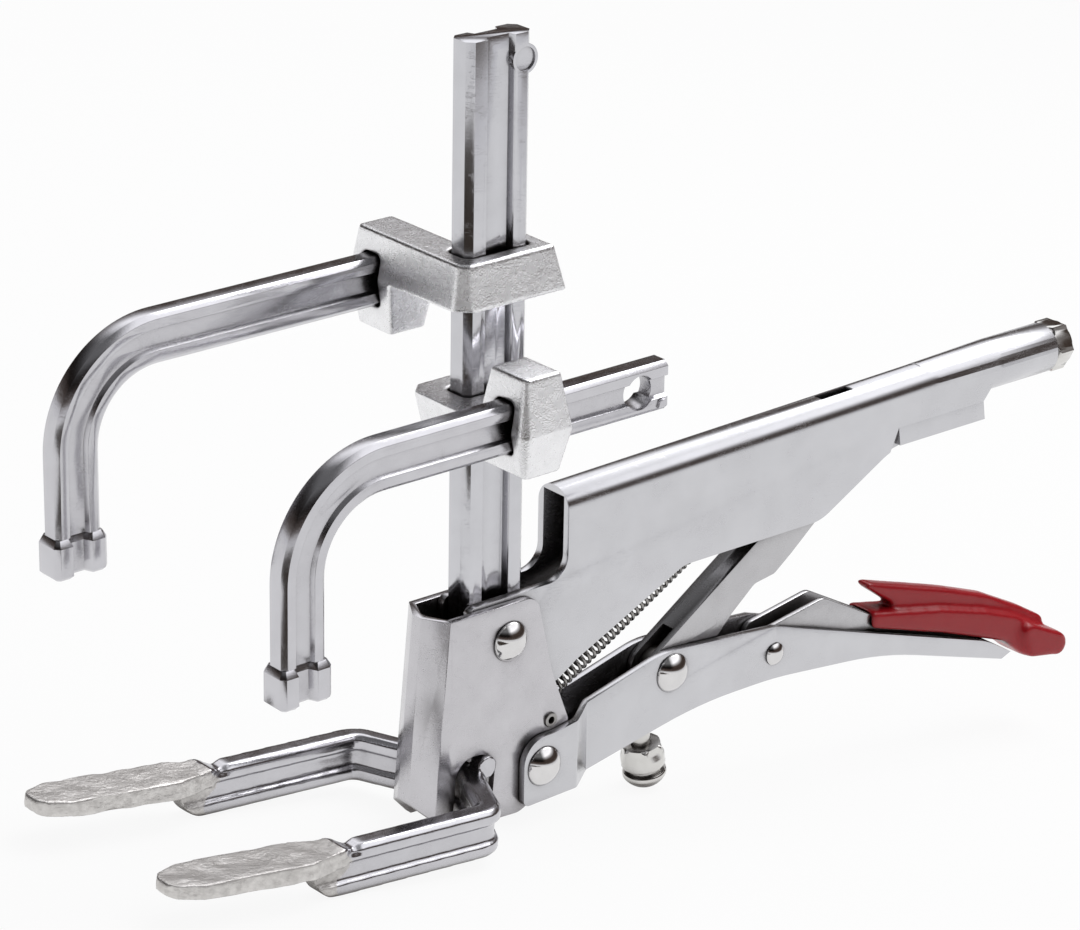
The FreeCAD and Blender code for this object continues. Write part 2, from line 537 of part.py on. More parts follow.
def make_upper_handle():
    body = make_body("upper_handle")
    side = make_sketch(body, "XZ_Plane", "HandleSide")
    draw_outline(side, [
        ("handle_front", "handle_cheek_high", "3"), ("-1*handle_mouth", "handle_cheek_high", "7"),
        ("-1*handle_mouth", "handle_top"), ("-1*tube_start", handle_roof("tube_start")),
        ("-1*tube_start", "tube_axis"), ("-1*handle_lip_back", "handle_lip + handle_lip_high"),
        ("-1*handle_neck_back", "handle_neck + handle_lip_high*0.2", "14"),
        ("-1*handle_grip_back", "handle_waist", "14"), ("-1*handle_waist_back", "handle_waist", "10"),
        ("-1*handle_heel_back - 8", "-1*handle_heel_low + 5"), ("-1*handle_heel_back", "-1*handle_heel_low", "5"),
        ("handle_front", "-1*handle_cheek_low", "6"),
    ])
    pad(body, side, "handle_wide", both=True)
    top, long = val("handle_top - handle_sheet/2"), val("(tube_start - handle_mouth)/2")
    round_edges(body, lambda edge: edge.BoundBox.ZMin > top and edge.BoundBox.XLength > long,
                "(handle_wide - bend_flat)/2")
    cone = body.newObject("PartDesign::AdditiveCone", "HandleCone")
    for key, text in (("Radius1", "handle_wide/2"), ("Radius2", "tube_radius"), ("Height", "tube_cone")):
        cone.setExpression(key, bind(text))
    cone.Placement = FreeCAD.Placement(Vec(val("tube_cone - tube_start"), 0, val("tube_axis")),
                                       FreeCAD.Rotation(Vec(0, 1, 0), -90))
    tube = body.newObject("PartDesign::AdditiveCylinder", "HandleTube")
    tube.setExpression("Radius", bind("tube_radius"))
    tube.setExpression("Height", bind("tube_end - tube_start"))
    tube.Placement = FreeCAD.Placement(Vec(-val("tube_start"), 0, val("tube_axis")),
                                       FreeCAD.Rotation(Vec(0, 1, 0), -90))
    doc.recompute()
    inside = make_sketch(body, "XZ_Plane", "HandleInside")
    roof_front, roof_back = handle_roof("handle_mouth", "handle_sheet"), handle_roof("tube_start", "handle_sheet")
    draw_outline(inside, [
        ("handle_front + 5", "-1*handle_heel_low - 5"), ("handle_front + 5", roof_front),
        ("-1*handle_mouth + 5", roof_front), ("-1*tube_start + 4", roof_back),
        ("-1*tube_start + 4", "-1*handle_heel_low - 5"),
    ])
    pocket(body, inside, "handle_wide - 2*handle_sheet", both=True)
    bores = (("Bush", "tube_radius - handle_sheet", "tube_cone/2 - tube_start", "tube_end - tube_start + tube_cone"),
             ("Screw", "screw_radius + screw_play", "handle_sheet - screw_tip_back", "tube_end - screw_tip_back"))
    for title, radius, start, length in bores:
        bore = body.newObject("PartDesign::SubtractiveCylinder", "HandleBore" + title)
        bore.setExpression("Radius", bind(radius))
        bore.setExpression("Height", bind(length))
        bore.Placement = FreeCAD.Placement(Vec(val(start), 0, val("tube_axis")),
                                           FreeCAD.Rotation(Vec(0, 1, 0), -90))
        doc.recompute()
    seam = make_sketch(body, "XY_Plane", "HandleSeam", "tube_axis - tube_radius - 12")
    draw_outline(seam, [("-1*tube_end - 1", "-1*tube_slit/2"), ("-1*tube_start + 12", "-1*tube_slit/2"),
                        ("-1*tube_start + 12", "tube_slit/2"), ("-1*tube_end - 1", "tube_slit/2")])
    pocket(body, seam, "tube_radius + 6", both=False, reverse=True)
    add_handle_lips(body)
    slot = make_sketch(body, "XY_Plane", "HandleTopSlot", "tube_axis + tube_radius + 5")
    near, far = "(top_slot_front)", "(top_slot_front + top_slot_long)"
    draw_outline(slot, [(f"-1*{near}", "-1*top_slot_wide/2"), (f"-1*{near}", "top_slot_wide/2"),
                        (f"-1*{far}", "top_slot_wide/2"), (f"-1*{far}", "-1*top_slot_wide/2")])
    pocket(body, slot, "tube_radius + 4", both=False)
    holes = make_sketch(body, "XZ_Plane", "HandleHoles")
    draw_circle(holes, "-1*pivot_back", "0", "rivet_radius + pin_gap")
    draw_circle(holes, "rail_pin_ahead", "rail_pin_up", "rail_pin_radius")
    pocket(body, holes)
    return body


def add_handle_lips(body):
    """The two lower edges of the neck, flared outward."""
    for side, name in ((1, "near"), (-1, "far")):
        profile = make_sketch(body, "YZ_Plane", "HandleLip_" + name, "-1*handle_lip_back")
        outer, low = f"{side}*(handle_wide/2)", "(handle_lip)"
        inner = f"{side}*(handle_wide/2 - handle_sheet)"
        draw_outline(profile, [
            (inner, f"{low} + handle_lip_high + 1"), (outer, f"{low} + handle_lip_high + 1"),
            (outer, f"{low} + handle_lip_high"), (f"{outer} + {side}*handle_lip_flare", low),
            (f"{inner} + {side}*handle_lip_flare", low), (inner, f"{low} + handle_lip_high - 0.6"),
        ])
        pad(body, profile, "handle_lip_back - handle_neck_back - 4")


# Jaw housing: folded sheet round the rail's foot, open at the back

JAW_INNER = "(handle_wide/2 + side_gap)"
JAW_OUTER = "(handle_wide/2 + side_gap + jaw_sheet)"


def make_jaw_housing():
    body = make_body("jaw_housing")
    side = make_sketch(body, "XZ_Plane", "JawSide")
    draw_outline(side, [
        ("jaw_nose", "jaw_rim_front"), ("-1*jaw_rim_back", "jaw_rim", "5"),
        ("-1*lever_pivot_back - 2", "-1*jaw_rim", "30"), ("-1*jaw_heel_back", "-1*spring_pin_low - 1", "4"),
        ("-1*jaw_heel_back + 1", "-1*lever_pivot_low - 6", "7"), ("-1*lever_pivot_back + 6", "-1*jaw_base + 1", "6"),
        ("jaw_shoulder - 5", "-1*jaw_base"), ("jaw_nose - 0.5", "-1*fork_low - 2", "3"),
    ])
    pad(body, side, f"2*{JAW_OUTER}", both=True)
    nose = make_sketch(body, "XY_Plane", "JawNose")
    for side_sign in (1, -1):
        draw_outline(nose, [
            ("jaw_shoulder", f"{side_sign}*{JAW_OUTER}"), ("jaw_nose", f"{side_sign}*jaw_nose_half"),
            ("jaw_nose + 5", f"{side_sign}*jaw_nose_half"), ("jaw_nose + 5", f"{side_sign}*({JAW_OUTER} + 2)"),
            ("jaw_shoulder", f"{side_sign}*({JAW_OUTER} + 2)"),
        ])
    pocket(body, nose)
    inside = make_sketch(body, "XY_Plane", "JawInside")
    draw_outline(inside, [
        ("-1*jaw_heel_back - 5", f"-1*{JAW_INNER}"), ("jaw_shoulder - jaw_sheet*0.3", f"-1*{JAW_INNER}"),
        ("jaw_nose - jaw_sheet", "-1*jaw_nose_half*0.6"), ("jaw_nose - jaw_sheet", "jaw_nose_half*0.6"),
        ("jaw_shoulder - jaw_sheet*0.3", JAW_INNER), ("-1*jaw_heel_back - 5", JAW_INNER),
    ])
    pocket(body, inside)
    slot = make_sketch(body, "XZ_Plane", "JawSlot")
    low = "-1*(fork_low + bar_wide/2 + pin_gap)"
    top = "-1*jaw_slot_top"
    draw_outline(slot, [("jaw_slot_front", low, "2"), ("jaw_slot_front", top, "6"),
                        ("jaw_slot_back", top, "6"), ("jaw_slot_back", low, "2")])
    pocket(body, slot)
    holes = make_sketch(body, "XZ_Plane", "JawHoles")
    draw_circle(holes, "0", "0", "rivet_radius + pin_gap")
    draw_circle(holes, "-1*lever_pivot_back", "-1*lever_pivot_low", "rivet_radius + pin_gap")
    draw_circle(holes, "-1*spring_pin_back", "-1*spring_pin_low", "spring_pin_radius")
    pocket(body, holes)
    return body


# Fork: one grooved bar bent to a U, its ends forged flat

def make_fork():
    body = make_body("fork_half_bar")
    section = make_sketch(body, "XZ_Plane", "ForkSection")
    draw_outline(section, [(f"{x} + fork_bar", f"{y} - fork_low") for x, y in turned(SMALL_BAR)])
    path = make_sketch(body, "XY_Plane", "ForkPath", "-1*fork_low")
    draw_fork_path(path)
    bar = body.newObject("PartDesign::AdditivePipe", "ForkBar")
    bar.Profile = section
    bar.Spine = path
    doc.recompute()
    bow = make_sketch(body, "XZ_Plane", "ForkBow")
    floor, ahead = "-1*(fork_low + bar_wide/2)", "(fork_prong + bar_thick)"
    pocket(body, draw_outline(bow, [
        (ahead, f"{floor} - bar_thick"), (ahead, f"{floor} + bar_wide*0.9"), ("fork_prong", f"{floor} + bar_wide*0.9"),
        ("fork_prong", floor, "fork_bow"), ("fork_prong - fork_bow*1.5", floor),
        ("fork_prong - fork_bow*1.5", f"{floor} - bar_thick"),
    ]))
    add_fork_pad(body)
    add_weld_bead(body)
    mirror = doc.addObject("Part::Mirroring", "ForkOtherHalf")
    mirror.Source = body
    mirror.Normal = (0, 1, 0)
    doc.recompute()
    whole = fuse("fork", [body, mirror])
    whole.Refine = True
    return whole


def draw_fork_path(sketch):
    """Half of the fork's centre line: out from the middle, an elbow, a slanted run, the corner and the prong."""
    corners = [("fork_bar", "0"), ("fork_bar", "fork_elbow_side"), ("fork_corner", "fork_half"),
               ("fork_prong", "fork_half")]
    spots = [Vec(val(x), val(y), 0) for x, y in corners]
    ends, arcs = [spots[0]], []
    for number, size in ((1, "fork_elbow"), (2, "fork_bend")):
        before = (spots[number - 1] - spots[number]).normalize()
        after = (spots[number + 1] - spots[number]).normalize()
        half = before.getAngle(after) / 2
        run = val(size) / math.tan(half)
        middle = spots[number] + (before + after).normalize() * (val(size) / math.sin(half))
        arcs.append((middle, spots[number] + before * run, spots[number] + after * run))
        ends += [arcs[-1][1], arcs[-1][2]]
    ends.append(spots[3])
    lines = [sketch.addGeometry(Part.LineSegment(ends[2 * i], ends[2 * i + 1])) for i in range(3)]
    fix_point(sketch, lines[0], 1, *corners[0])
    sketch.addConstraint(Sketcher.Constraint("Vertical", lines[0]))
    sketch.addConstraint(Sketcher.Constraint("Horizontal", lines[2]))
    for number, size in enumerate(("fork_elbow", "fork_bend")):
        mark = sketch.addGeometry(Part.Point(spots[number + 1]), True)
        fix_point(sketch, mark, 1, *corners[number + 1])
        arc, begin, end = short_arc(sketch, *arcs[number])
        sketch.addConstraint(Sketcher.Constraint("Tangent", lines[number], 2, arc, begin))
        sketch.addConstraint(Sketcher.Constraint("Tangent", lines[number + 1], 1, arc, end))
        sketch.addConstraint(Sketcher.Constraint("PointOnObject", mark, 1, lines[1]))
        index = sketch.addConstraint(Sketcher.Constraint("Radius", arc, val(size)))
        sketch.setExpression(f"Constraints[{index}]", bind(size))
    fix_point(sketch, lines[2], 2, *corners[3])


def add_fork_pad(body):
    """The forged tongue on top of the prong's end: its side first, then its plan."""
    side = make_sketch(body, "XZ_Plane", "ForkPadSide", "-1*fork_half")
    top = "-1*(fork_low - bar_wide/2)"
    pad(body, draw_outline(side, [
        ("fork_pad_start", top), ("fork_tip", f"{top} + fork_pad_rise", "fork_pad_thick*0.25"),
        ("fork_tip", f"{top} + fork_pad_rise - fork_pad_thick*0.85", "fork_pad_thick*0.35"),
        ("fork_prong", f"{top} - fork_pad_thick"), ("fork_pad_start", f"{top} - fork_pad_thick"),
    ]), "fork_pad_wide", both=True)
    plan = make_sketch(body, "XY_Plane", "ForkPadPlan")
    for sign in (1, -1):
        half, beyond = f"{sign}*fork_pad_wide/2", f"{sign}*(fork_pad_wide/2 + bar_edge)"
        draw_outline(plan, [(x, f"fork_half + {y}") for x, y in (
            ("fork_pad_start - bar_edge", f"{sign}*bar_thick/2"), ("fork_pad_start", f"{sign}*bar_thick/2"),
            ("fork_prong + fork_bow*0.4", half), ("fork_tip - fork_pad_wide*0.6", half),
            ("fork_tip - fork_pad_wide*0.16", f"{sign}*fork_pad_wide*0.34"),
            ("fork_tip", f"{sign}*fork_pad_wide*0.16"), ("fork_tip + bar_edge", f"{sign}*fork_pad_wide*0.16"),
            ("fork_tip + bar_edge", beyond), ("fork_pad_start - bar_edge", beyond),
        )])
    pocket(body, plan)


def add_weld_bead(body):
    """The weld bead that holds the cross bar in the housing's slot, as a short many-sided plug."""
    bead = body.newObject("PartDesign::AdditivePrism", "ForkWeld")
    bead.Polygon = DOME_SIDES // 2
    bead.setExpression("Circumradius", bind("weld_radius"))
    bead.setExpression("Height", bind("weld_radius*1.4"))
    spot = Vec(val("jaw_slot_back + weld_radius*1.2"), val(f"{JAW_OUTER} - weld_radius*0.9"),
               val("-1*jaw_slot_top - weld_radius*1.05"))
    bead.Placement = FreeCAD.Placement(spot, FreeCAD.Rotation(Vec(1, 0, 0), -90))
    doc.recompute()


# Rivets, pins and bushes

def make_rivet(name, radius, head, dome, grip):
    """A rivet along Y with a domed head at each end. grip is the distance between the heads."""
    shank = put(solid_of("Cylinder", name + "_shank", Radius=radius, Height=grip),
                y=f"-1*({grip})/2", axis=Vec(1, 0, 0), angle=-90)
    caps = []
    for side in (1, -1):
        caps.append(make_dome(f"{name}_cap{len(caps)}", head, dome, Vec(0, side * val(f"({grip})/2"), 0), -90 * side))
    return fuse(name, [shank] + caps)


def make_dome(name, radius, high, spot, turn):
    """A low faceted dome on a spot, turned about X from the upward direction."""
    rotation = FreeCAD.Rotation(Vec(1, 0, 0), turn)
    rings = []
    for share, rise in ((1, 0), (0.86, 0.36), (0.56, 0.78), (0.2, 1)):
        ring = doc.addObject("Part::RegularPolygon", f"{name}_ring{len(rings)}")
        ring.Polygon = DOME_SIDES
        ring.setExpression("Circumradius", bind(f"({radius})*{share}"))
        ring.Placement = FreeCAD.Placement(spot + rotation.multVec(Vec(0, 0, val(f"{high}*{rise}"))), rotation)
        rings.append(ring)
    dome = doc.addObject("Part::Loft", name)
    dome.Sections = rings
    dome.Solid = True
    dome.Ruled = True
    return dome


def make_ring(name, outer, bore, length):
    """A plain bush or hollow pin along Y, centred on the middle plane."""
    tube = solid_of("Cylinder", name + "_outer", Radius=outer, Height=length)
    hole = solid_of("Cylinder", name + "_bore", Radius=bore, Height=length)
    for item in (tube, hole):
        put(item, y=f"-1*({length})/2", axis=Vec(1, 0, 0), angle=-90)
    return cut(name, tube, hole)


def make_pin(name, radius, length):
    """A plain pin along Y, centred on the middle plane."""
    return put(solid_of("Cylinder", name, Radius=radius, Height=length),
               y=f"-1*({length})/2", axis=Vec(1, 0, 0), angle=-90)


# Lower handle: folded channel whose front ends step out over the jaw housing

LOBE_INNER = "(handle_wide/2 + 2*side_gap + jaw_sheet)"
LOBE_OUTER = "(handle_wide/2 + 2*side_gap + jaw_sheet + lever_sheet)"
LEVER_INNER = "(lever_wide/2 - lever_sheet)"


def lever_underside(rise):
    """Corners of the channel's underside from front to back, raised by an expression."""
    return [
        ("-1*lever_joggle*1.1", f"-1*lever_lobe*1.15 + {rise}"),
        ("-1*link_pivot_back*1.2", f"-1*lever_belly + {rise}", "lever_sweep"),
        ("-1*release_pivot_back", f"-1*lever_belly + {rise}", "lever_sweep"),
        ("-1*lever_tail_back*0.71", f"-1*lever_tail_low*0.26 + {rise}", "lever_sweep"),
        ("-1*lever_tail_back + 4", f"-1*lever_tail_low + {rise}"),
    ]


def make_lower_handle():
    body = make_body("lower_handle")
    side = make_sketch(body, "XZ_Plane", "LeverSide")
    under = lever_underside("0")
    draw_outline(side, [
        ("lever_lobe*0.8", "-1*lever_lobe - 2", "2"), ("lever_lobe*0.8", "lever_lobe", "8"),
        ("-1*lever_lobe*0.45", "lever_lobe*1.02", "3"), ("-1*lever_joggle*1.25", "lever_lobe*1.2"),
        ("-1*lever_crest_back", "lever_crest + 1", "30"),
        ("-1*lever_crest_back - 44", "lever_crest - 3"), ("-1*lever_tail_back*0.7", "lever_crest*0.08"),
        ("-1*lever_tail_back + 11", "-1*lever_tail_low + lever_tail_high + 3", "30"),
        ("-1*lever_tail_back", "-1*lever_tail_low + lever_tail_high - 3.5"),
    ] + under[::-1])
    pad(body, side, f"2*{LOBE_OUTER}", both=True)
    trim = make_sketch(body, "XY_Plane", "LeverTrim")
    start, stop = "-1*lever_joggle", "(-1*lever_joggle - lever_joggle_long)"
    for sign in (1, -1):
        draw_outline(trim, [
            (start, f"{sign}*{LOBE_OUTER}"), (stop, f"{sign}*lever_wide/2"),
            ("-1*lever_tail_back - 2", f"{sign}*lever_wide/2"),
            ("-1*lever_tail_back - 2", f"{sign}*({LOBE_OUTER} + 2)"), (start, f"{sign}*({LOBE_OUTER} + 2)"),
        ])
    pocket(body, trim)
    mouth = make_sketch(body, "XY_Plane", "LeverMouth")
    draw_outline(mouth, [
        ("lever_lobe*2", f"-1*{LOBE_INNER}"), (start, f"-1*{LOBE_INNER}"), (stop, f"-1*{LEVER_INNER}"),
        (f"{stop} - 0.5", f"-1*{LEVER_INNER}"), (f"{stop} - 0.5", LEVER_INNER), (stop, LEVER_INNER),
        (start, LOBE_INNER), ("lever_lobe*2", LOBE_INNER),
    ])
    pocket(body, mouth)
    inside = make_sketch(body, "XZ_Plane", "LeverInside")
    floor = lever_underside("lever_sheet")
    draw_outline(inside, [(f"{stop} + 0.1", "lever_crest + 12")] + [(f"{stop} + 0.1", floor[0][1])]
                 + floor[1:] + [("-1*lever_tail_back + 4", "lever_crest + 12")])
    pocket(body, inside, f"2*{LEVER_INNER}", both=True)
    holes = make_sketch(body, "XZ_Plane", "LeverHoles")
    draw_circle(holes, "0", "0", "rivet_radius + pin_gap")
    draw_circle(holes, "-1*link_pivot_back", "link_pivot_high", "rivet_radius + pin_gap")
    draw_circle(holes, "-1*release_pivot_back", "release_pivot_high", "small_rivet_radius + pin_gap")
    pocket(body, holes)
    seat = body.newObject("PartDesign::SubtractiveCylinder", "LeverKnobHole")
    seat.setExpression("Radius", bind("knob_shank + pin_gap"))
    seat.setExpression("Height", bind("knob_drop + knob_reach"))
    seat.Placement = knob_place().multiply(FreeCAD.Placement(Vec(0, 0, -val("knob_drop")), FreeCAD.Rotation()))
    doc.recompute()
    return body


def knob_place():
    """Place of the stop screw in the lower handle's own frame."""
    return FreeCAD.Placement(Vec(-val("knob_back"), 0, -val("lever_belly*3")),
                             FreeCAD.Rotation(Vec(0, 1, 0), val("knob_lean")))


# Toggle link: folded channel, its web facing forward

LINK_OUTER = "(lever_wide/2 - lever_sheet - side_gap)"


def make_toggle_link():
    body = make_body("toggle_link")
    side = make_sketch(body, "XZ_Plane", "LinkSide")
    draw_outline(side, [
        ("-1*link_half", "-1*link_half", "6"), ("link_length", "-0.2*link_half - link_tip", "4"),
        ("link_length", "-0.2*link_half + link_tip", "4"), ("link_length*0.52", "link_half*0.96"),
        ("link_length*0.44", "link_half", "3"), ("link_length*0.37", "link_waist", "4"),
        ("link_length*0.26", "link_waist + 1"), ("link_length*0.14", "link_half", "6"),
        ("-1*link_half", "link_half", "6"),
    ])
    pad(body, side, f"2*{LINK_OUTER}", both=True)
    inside = make_sketch(body, "XZ_Plane", "LinkInside")
    draw_outline(inside, [
        ("-1*link_half - 3", "link_half + 3"), ("-1*link_half - 3", "-1*link_half - 3"),
        ("link_half*1.3", "-1*link_half - 3"), ("link_half*1.3", "-1*link_half + link_sheet"),
        ("link_length - link_sheet", "-0.2*link_half - link_tip + link_sheet"),
        ("link_length - link_sheet", "link_half + 3"),
    ])
    pocket(body, inside, f"2*({LINK_OUTER} - link_sheet)", both=True)
    hole = make_sketch(body, "XZ_Plane", "LinkHole")
    pocket(body, draw_circle(hole, "0", "0", "rivet_radius + pin_gap"))
    return body


# Release lever: folded sheet with a cam hump and a tang that carries the grip

RELEASE_OUTER = "(lever_wide/2 - lever_sheet - side_gap)"


GRIP_LONG = "(lever_tail_back - release_pivot_back + grip_beyond)"
GRIP_DROP = "(lever_tail_low + release_pivot_high)"


def tang(slack="0"):
    """Corners of the tang that carries the grip, grown by an expression."""
    start, end = f"-1*grip_start + {slack}", f"-0.79*{GRIP_LONG} - {slack}"
    front, rear = "release_sheet*0.45", f"-0.71*{GRIP_DROP}"
    return [(start, f"{front} + {slack}"), (end, f"{rear} + {slack}"), (end, f"{rear} - release_sheet*1.2 - {slack}"),
            (start, f"{front} - release_sheet*2.8 - {slack}")]


def make_release_lever():
    body = make_body("release_lever")
    side = make_sketch(body, "XZ_Plane", "ReleaseSide")
    draw_outline(side, [
        ("small_rivet_head*1.4", "-1*small_rivet_head*1.15", "3"), ("small_rivet_head*1.15", "release_hump*0.7", "4"),
        ("-1*release_hump_back", "release_hump*1.12", "5"),
        *tang(), ("-1*release_hump_back*0.55", "-1*small_rivet_head*1.4", "3"),
    ])
    pad(body, side, f"2*{RELEASE_OUTER}", both=True)
    inside = make_sketch(body, "XZ_Plane", "ReleaseInside")
    floor = "release_sheet - small_rivet_head*1.2"
    draw_outline(inside, [("small_rivet_head*2.3", floor), ("small_rivet_head*2.3", "release_hump*1.5"),
                          ("release_sheet/2 - grip_start", "release_hump*1.5"),
                          ("release_sheet/2 - grip_start", floor), ("-1*release_hump_back*0.55", f"{floor} - 0.6")])
    pocket(body, inside, f"2*({RELEASE_OUTER} - release_sheet)", both=True)
    hole = make_sketch(body, "XZ_Plane", "ReleaseHole")
    pocket(body, draw_circle(hole, "0", "0", "small_rivet_radius + pin_gap"))
    return body


def grip_spots(stations):
    """Corners given as shares of the grip's length and drop, with a rise in millimetres and a radius where given."""
    return [(f"-1*{along}*{GRIP_LONG}", f"-1*{down}*{GRIP_DROP} + {rise}") + tuple(rest)
            for along, down, rise, *rest in stations]


def make_grip():
    body = make_body("release_grip")
    side = make_sketch(body, "XZ_Plane", "GripSide")
    tail = [(1, 0.97, "0", "4"), (0.99, 1.2, "0", "3"), (0.86, 1.09, "0")]
    draw_outline(side, [("-1*grip_start", "release_sheet*0.9", "1")] + grip_spots([
        (0.57, 0.19, "0"), (0.72, 0.39, "0"), (0.82, 0.56, "0"), (0.92, 0.8, "0"), *tail,
        (0.79, 0.87, "0.9"), (0.57, 0.49, "0.3"),
    ]) + [("-1*grip_start", "-1*release_sheet*2.2", "1")])
    pad(body, side, "grip_wide", both=True)
    wings = make_sketch(body, "XZ_Plane", "GripWings")
    draw_outline(wings, grip_spots([(0.82, 0.6, "0", "3"), (0.92, 0.8, "-0.3"), *tail[:2], (0.86, 1.09, "0", "4")]))
    pad(body, wings, "grip_wing", both=True)
    rib = make_sketch(body, "XZ_Plane", "GripRib")
    draw_outline(rib, grip_spots([
        (0.29, 0, "grip_rib_high*2", "1"), (0.6, 0.19, "grip_rib_high*0.8"), (0.74, 0.4, "grip_rib_high*0.7"),
        (0.86, 0.66, "grip_rib_high*0.65"), (0.95, 0.86, "grip_rib_high*0.5", "1.5"), (0.94, 1.05, "0"),
        (0.8, 0.8, "0"), (0.46, 0.2, "0"), (0.4, 0, "grip_rib_high*0.3", "1.5"),
    ]))
    pad(body, rib, "grip_rib", both=True)
    core = make_sketch(body, "XZ_Plane", "GripCore")
    pocket(body, draw_outline(core, tang("pin_gap")), f"2*({RELEASE_OUTER} + pin_gap)", both=True)
    return body


# Spring: a coil between the jaw's spring pin and the anchor in the upper handle

def coil_ring(radius, height):
    """A closed eight-sided ring of points round the coil's axis."""
    return [Vec(radius * math.cos(side * math.pi / 4), radius * math.sin(side * math.pi / 4), height)
            for side in list(range(8)) + [0]]


def make_spring(name, start, stop):
    """An extension spring from one point to another: rings that touch, and a straight hook at each end."""
    span = stop.sub(start)
    hook = val("anchor_radius + 2*wire_radius")
    radius, wire, turns = val("spring_radius"), val("wire_radius"), int(val("spring_turns"))
    pitch = (span.Length - 2 * hook) / turns
    rings = []
    for half_turn in range(2 * turns + 1):
        swell = wire if half_turn % 2 else 0
        rings.append(coil_ring(radius + swell, half_turn * pitch / 2))
    faces = [Part.Face(Part.makePolygon(rings[0])), Part.Face(Part.makePolygon(rings[-1]))]
    for low, high in zip(rings, rings[1:]):
        for side in range(len(low) - 1):
            faces.append(Part.Face(Part.makePolygon([low[side], low[side + 1], high[side + 1], high[side], low[side]])))
    coil = Part.makeSolid(Part.makeShell(faces))
    if coil.Volume < 0:
        coil.reverse()
    reach = hook + val("spring_pin_radius")
    side_hook = val("spring_pin_radius + 0.05")
    low_hook = Part.makeBox(2 * wire, 2 * wire, reach, Vec(side_hook, -wire, pitch * 0.5 - reach))
    high_hook = Part.makeBox(2 * wire, 2 * wire, reach, Vec(-side_hook - 2 * wire, -wire, (turns - 0.5) * pitch))
    item = doc.addObject("Part::Feature", name)
    item.Label = name
    item.Shape = coil.fuse([low_hook, high_hook])
    along = FreeCAD.Vector(span).normalize()
    item.Placement = FreeCAD.Placement(start + along * hook, FreeCAD.Rotation(Vec(0, 0, 1), span))
    return item


# Screws

def make_adjusting_screw():
    shank = solid_of("Cylinder", "ScrewShank", Radius="screw_radius", Height="tube_end + screw_neck - screw_tip_back")
    put(shank, x="-1*(tube_end + screw_neck)", z="tube_axis", angle=90)
    head = solid_of("Prism", "ScrewHead", Circumradius="screw_hex/(2*cos(30))", Height="screw_head")
    put(head, x="-1*(tube_end + screw_neck + screw_head)", z="tube_axis", angle=90)
    return fuse("adjusting_screw", [shank, head])


def make_screw_bush():
    """The threaded liner at the mouth of the tube."""
    shell = solid_of("Cylinder", "BushShell", Radius="tube_radius - handle_sheet", Height="bush_long")
    bore = solid_of("Cylinder", "BushBore", Radius="screw_radius + pin_gap", Height="bush_long")
    for item in (shell, bore):
        put(item, x="-1*tube_end", z="tube_axis", angle=90)
    return cut("screw_bush", shell, bore)


def make_stop_screw():
    """The knob under the lower handle: shank, hexagonal body, groove and domed cap, along its own -Z."""
    parts = []
    shank = solid_of("Cylinder", "KnobShank", Radius="knob_shank", Height="knob_drop + knob_reach")
    parts.append(put(shank, z="-1*knob_drop"))
    block = solid_of("Prism", "KnobBody", Circumradius="knob_radius", Height="knob_body")
    parts.append(put(block, z="-1*(knob_drop + knob_body)"))
    neck = solid_of("Cylinder", "KnobGroove", Radius="knob_radius*0.8", Height="knob_groove")
    parts.append(put(neck, z="-1*(knob_drop + knob_body + knob_groove)"))
    low = Vec(0, 0, -val("knob_drop + knob_body + knob_groove"))
    return fuse("stop_screw", parts + [make_dome("KnobDome", "knob_radius", "knob_dome", low, 180)])


# Places of the pivots in the tool frame

def in_jaw(x, z):
    """A point of the jaw, given from its pivot, in the tool frame."""
    tilt = math.radians(val("jaw_tilt"))
    ahead, up = val(x), val(z)
    return Vec(ahead * math.cos(tilt) - up * math.sin(tilt) - val("pivot_back"),
               0, ahead * math.sin(tilt) + up * math.cos(tilt))


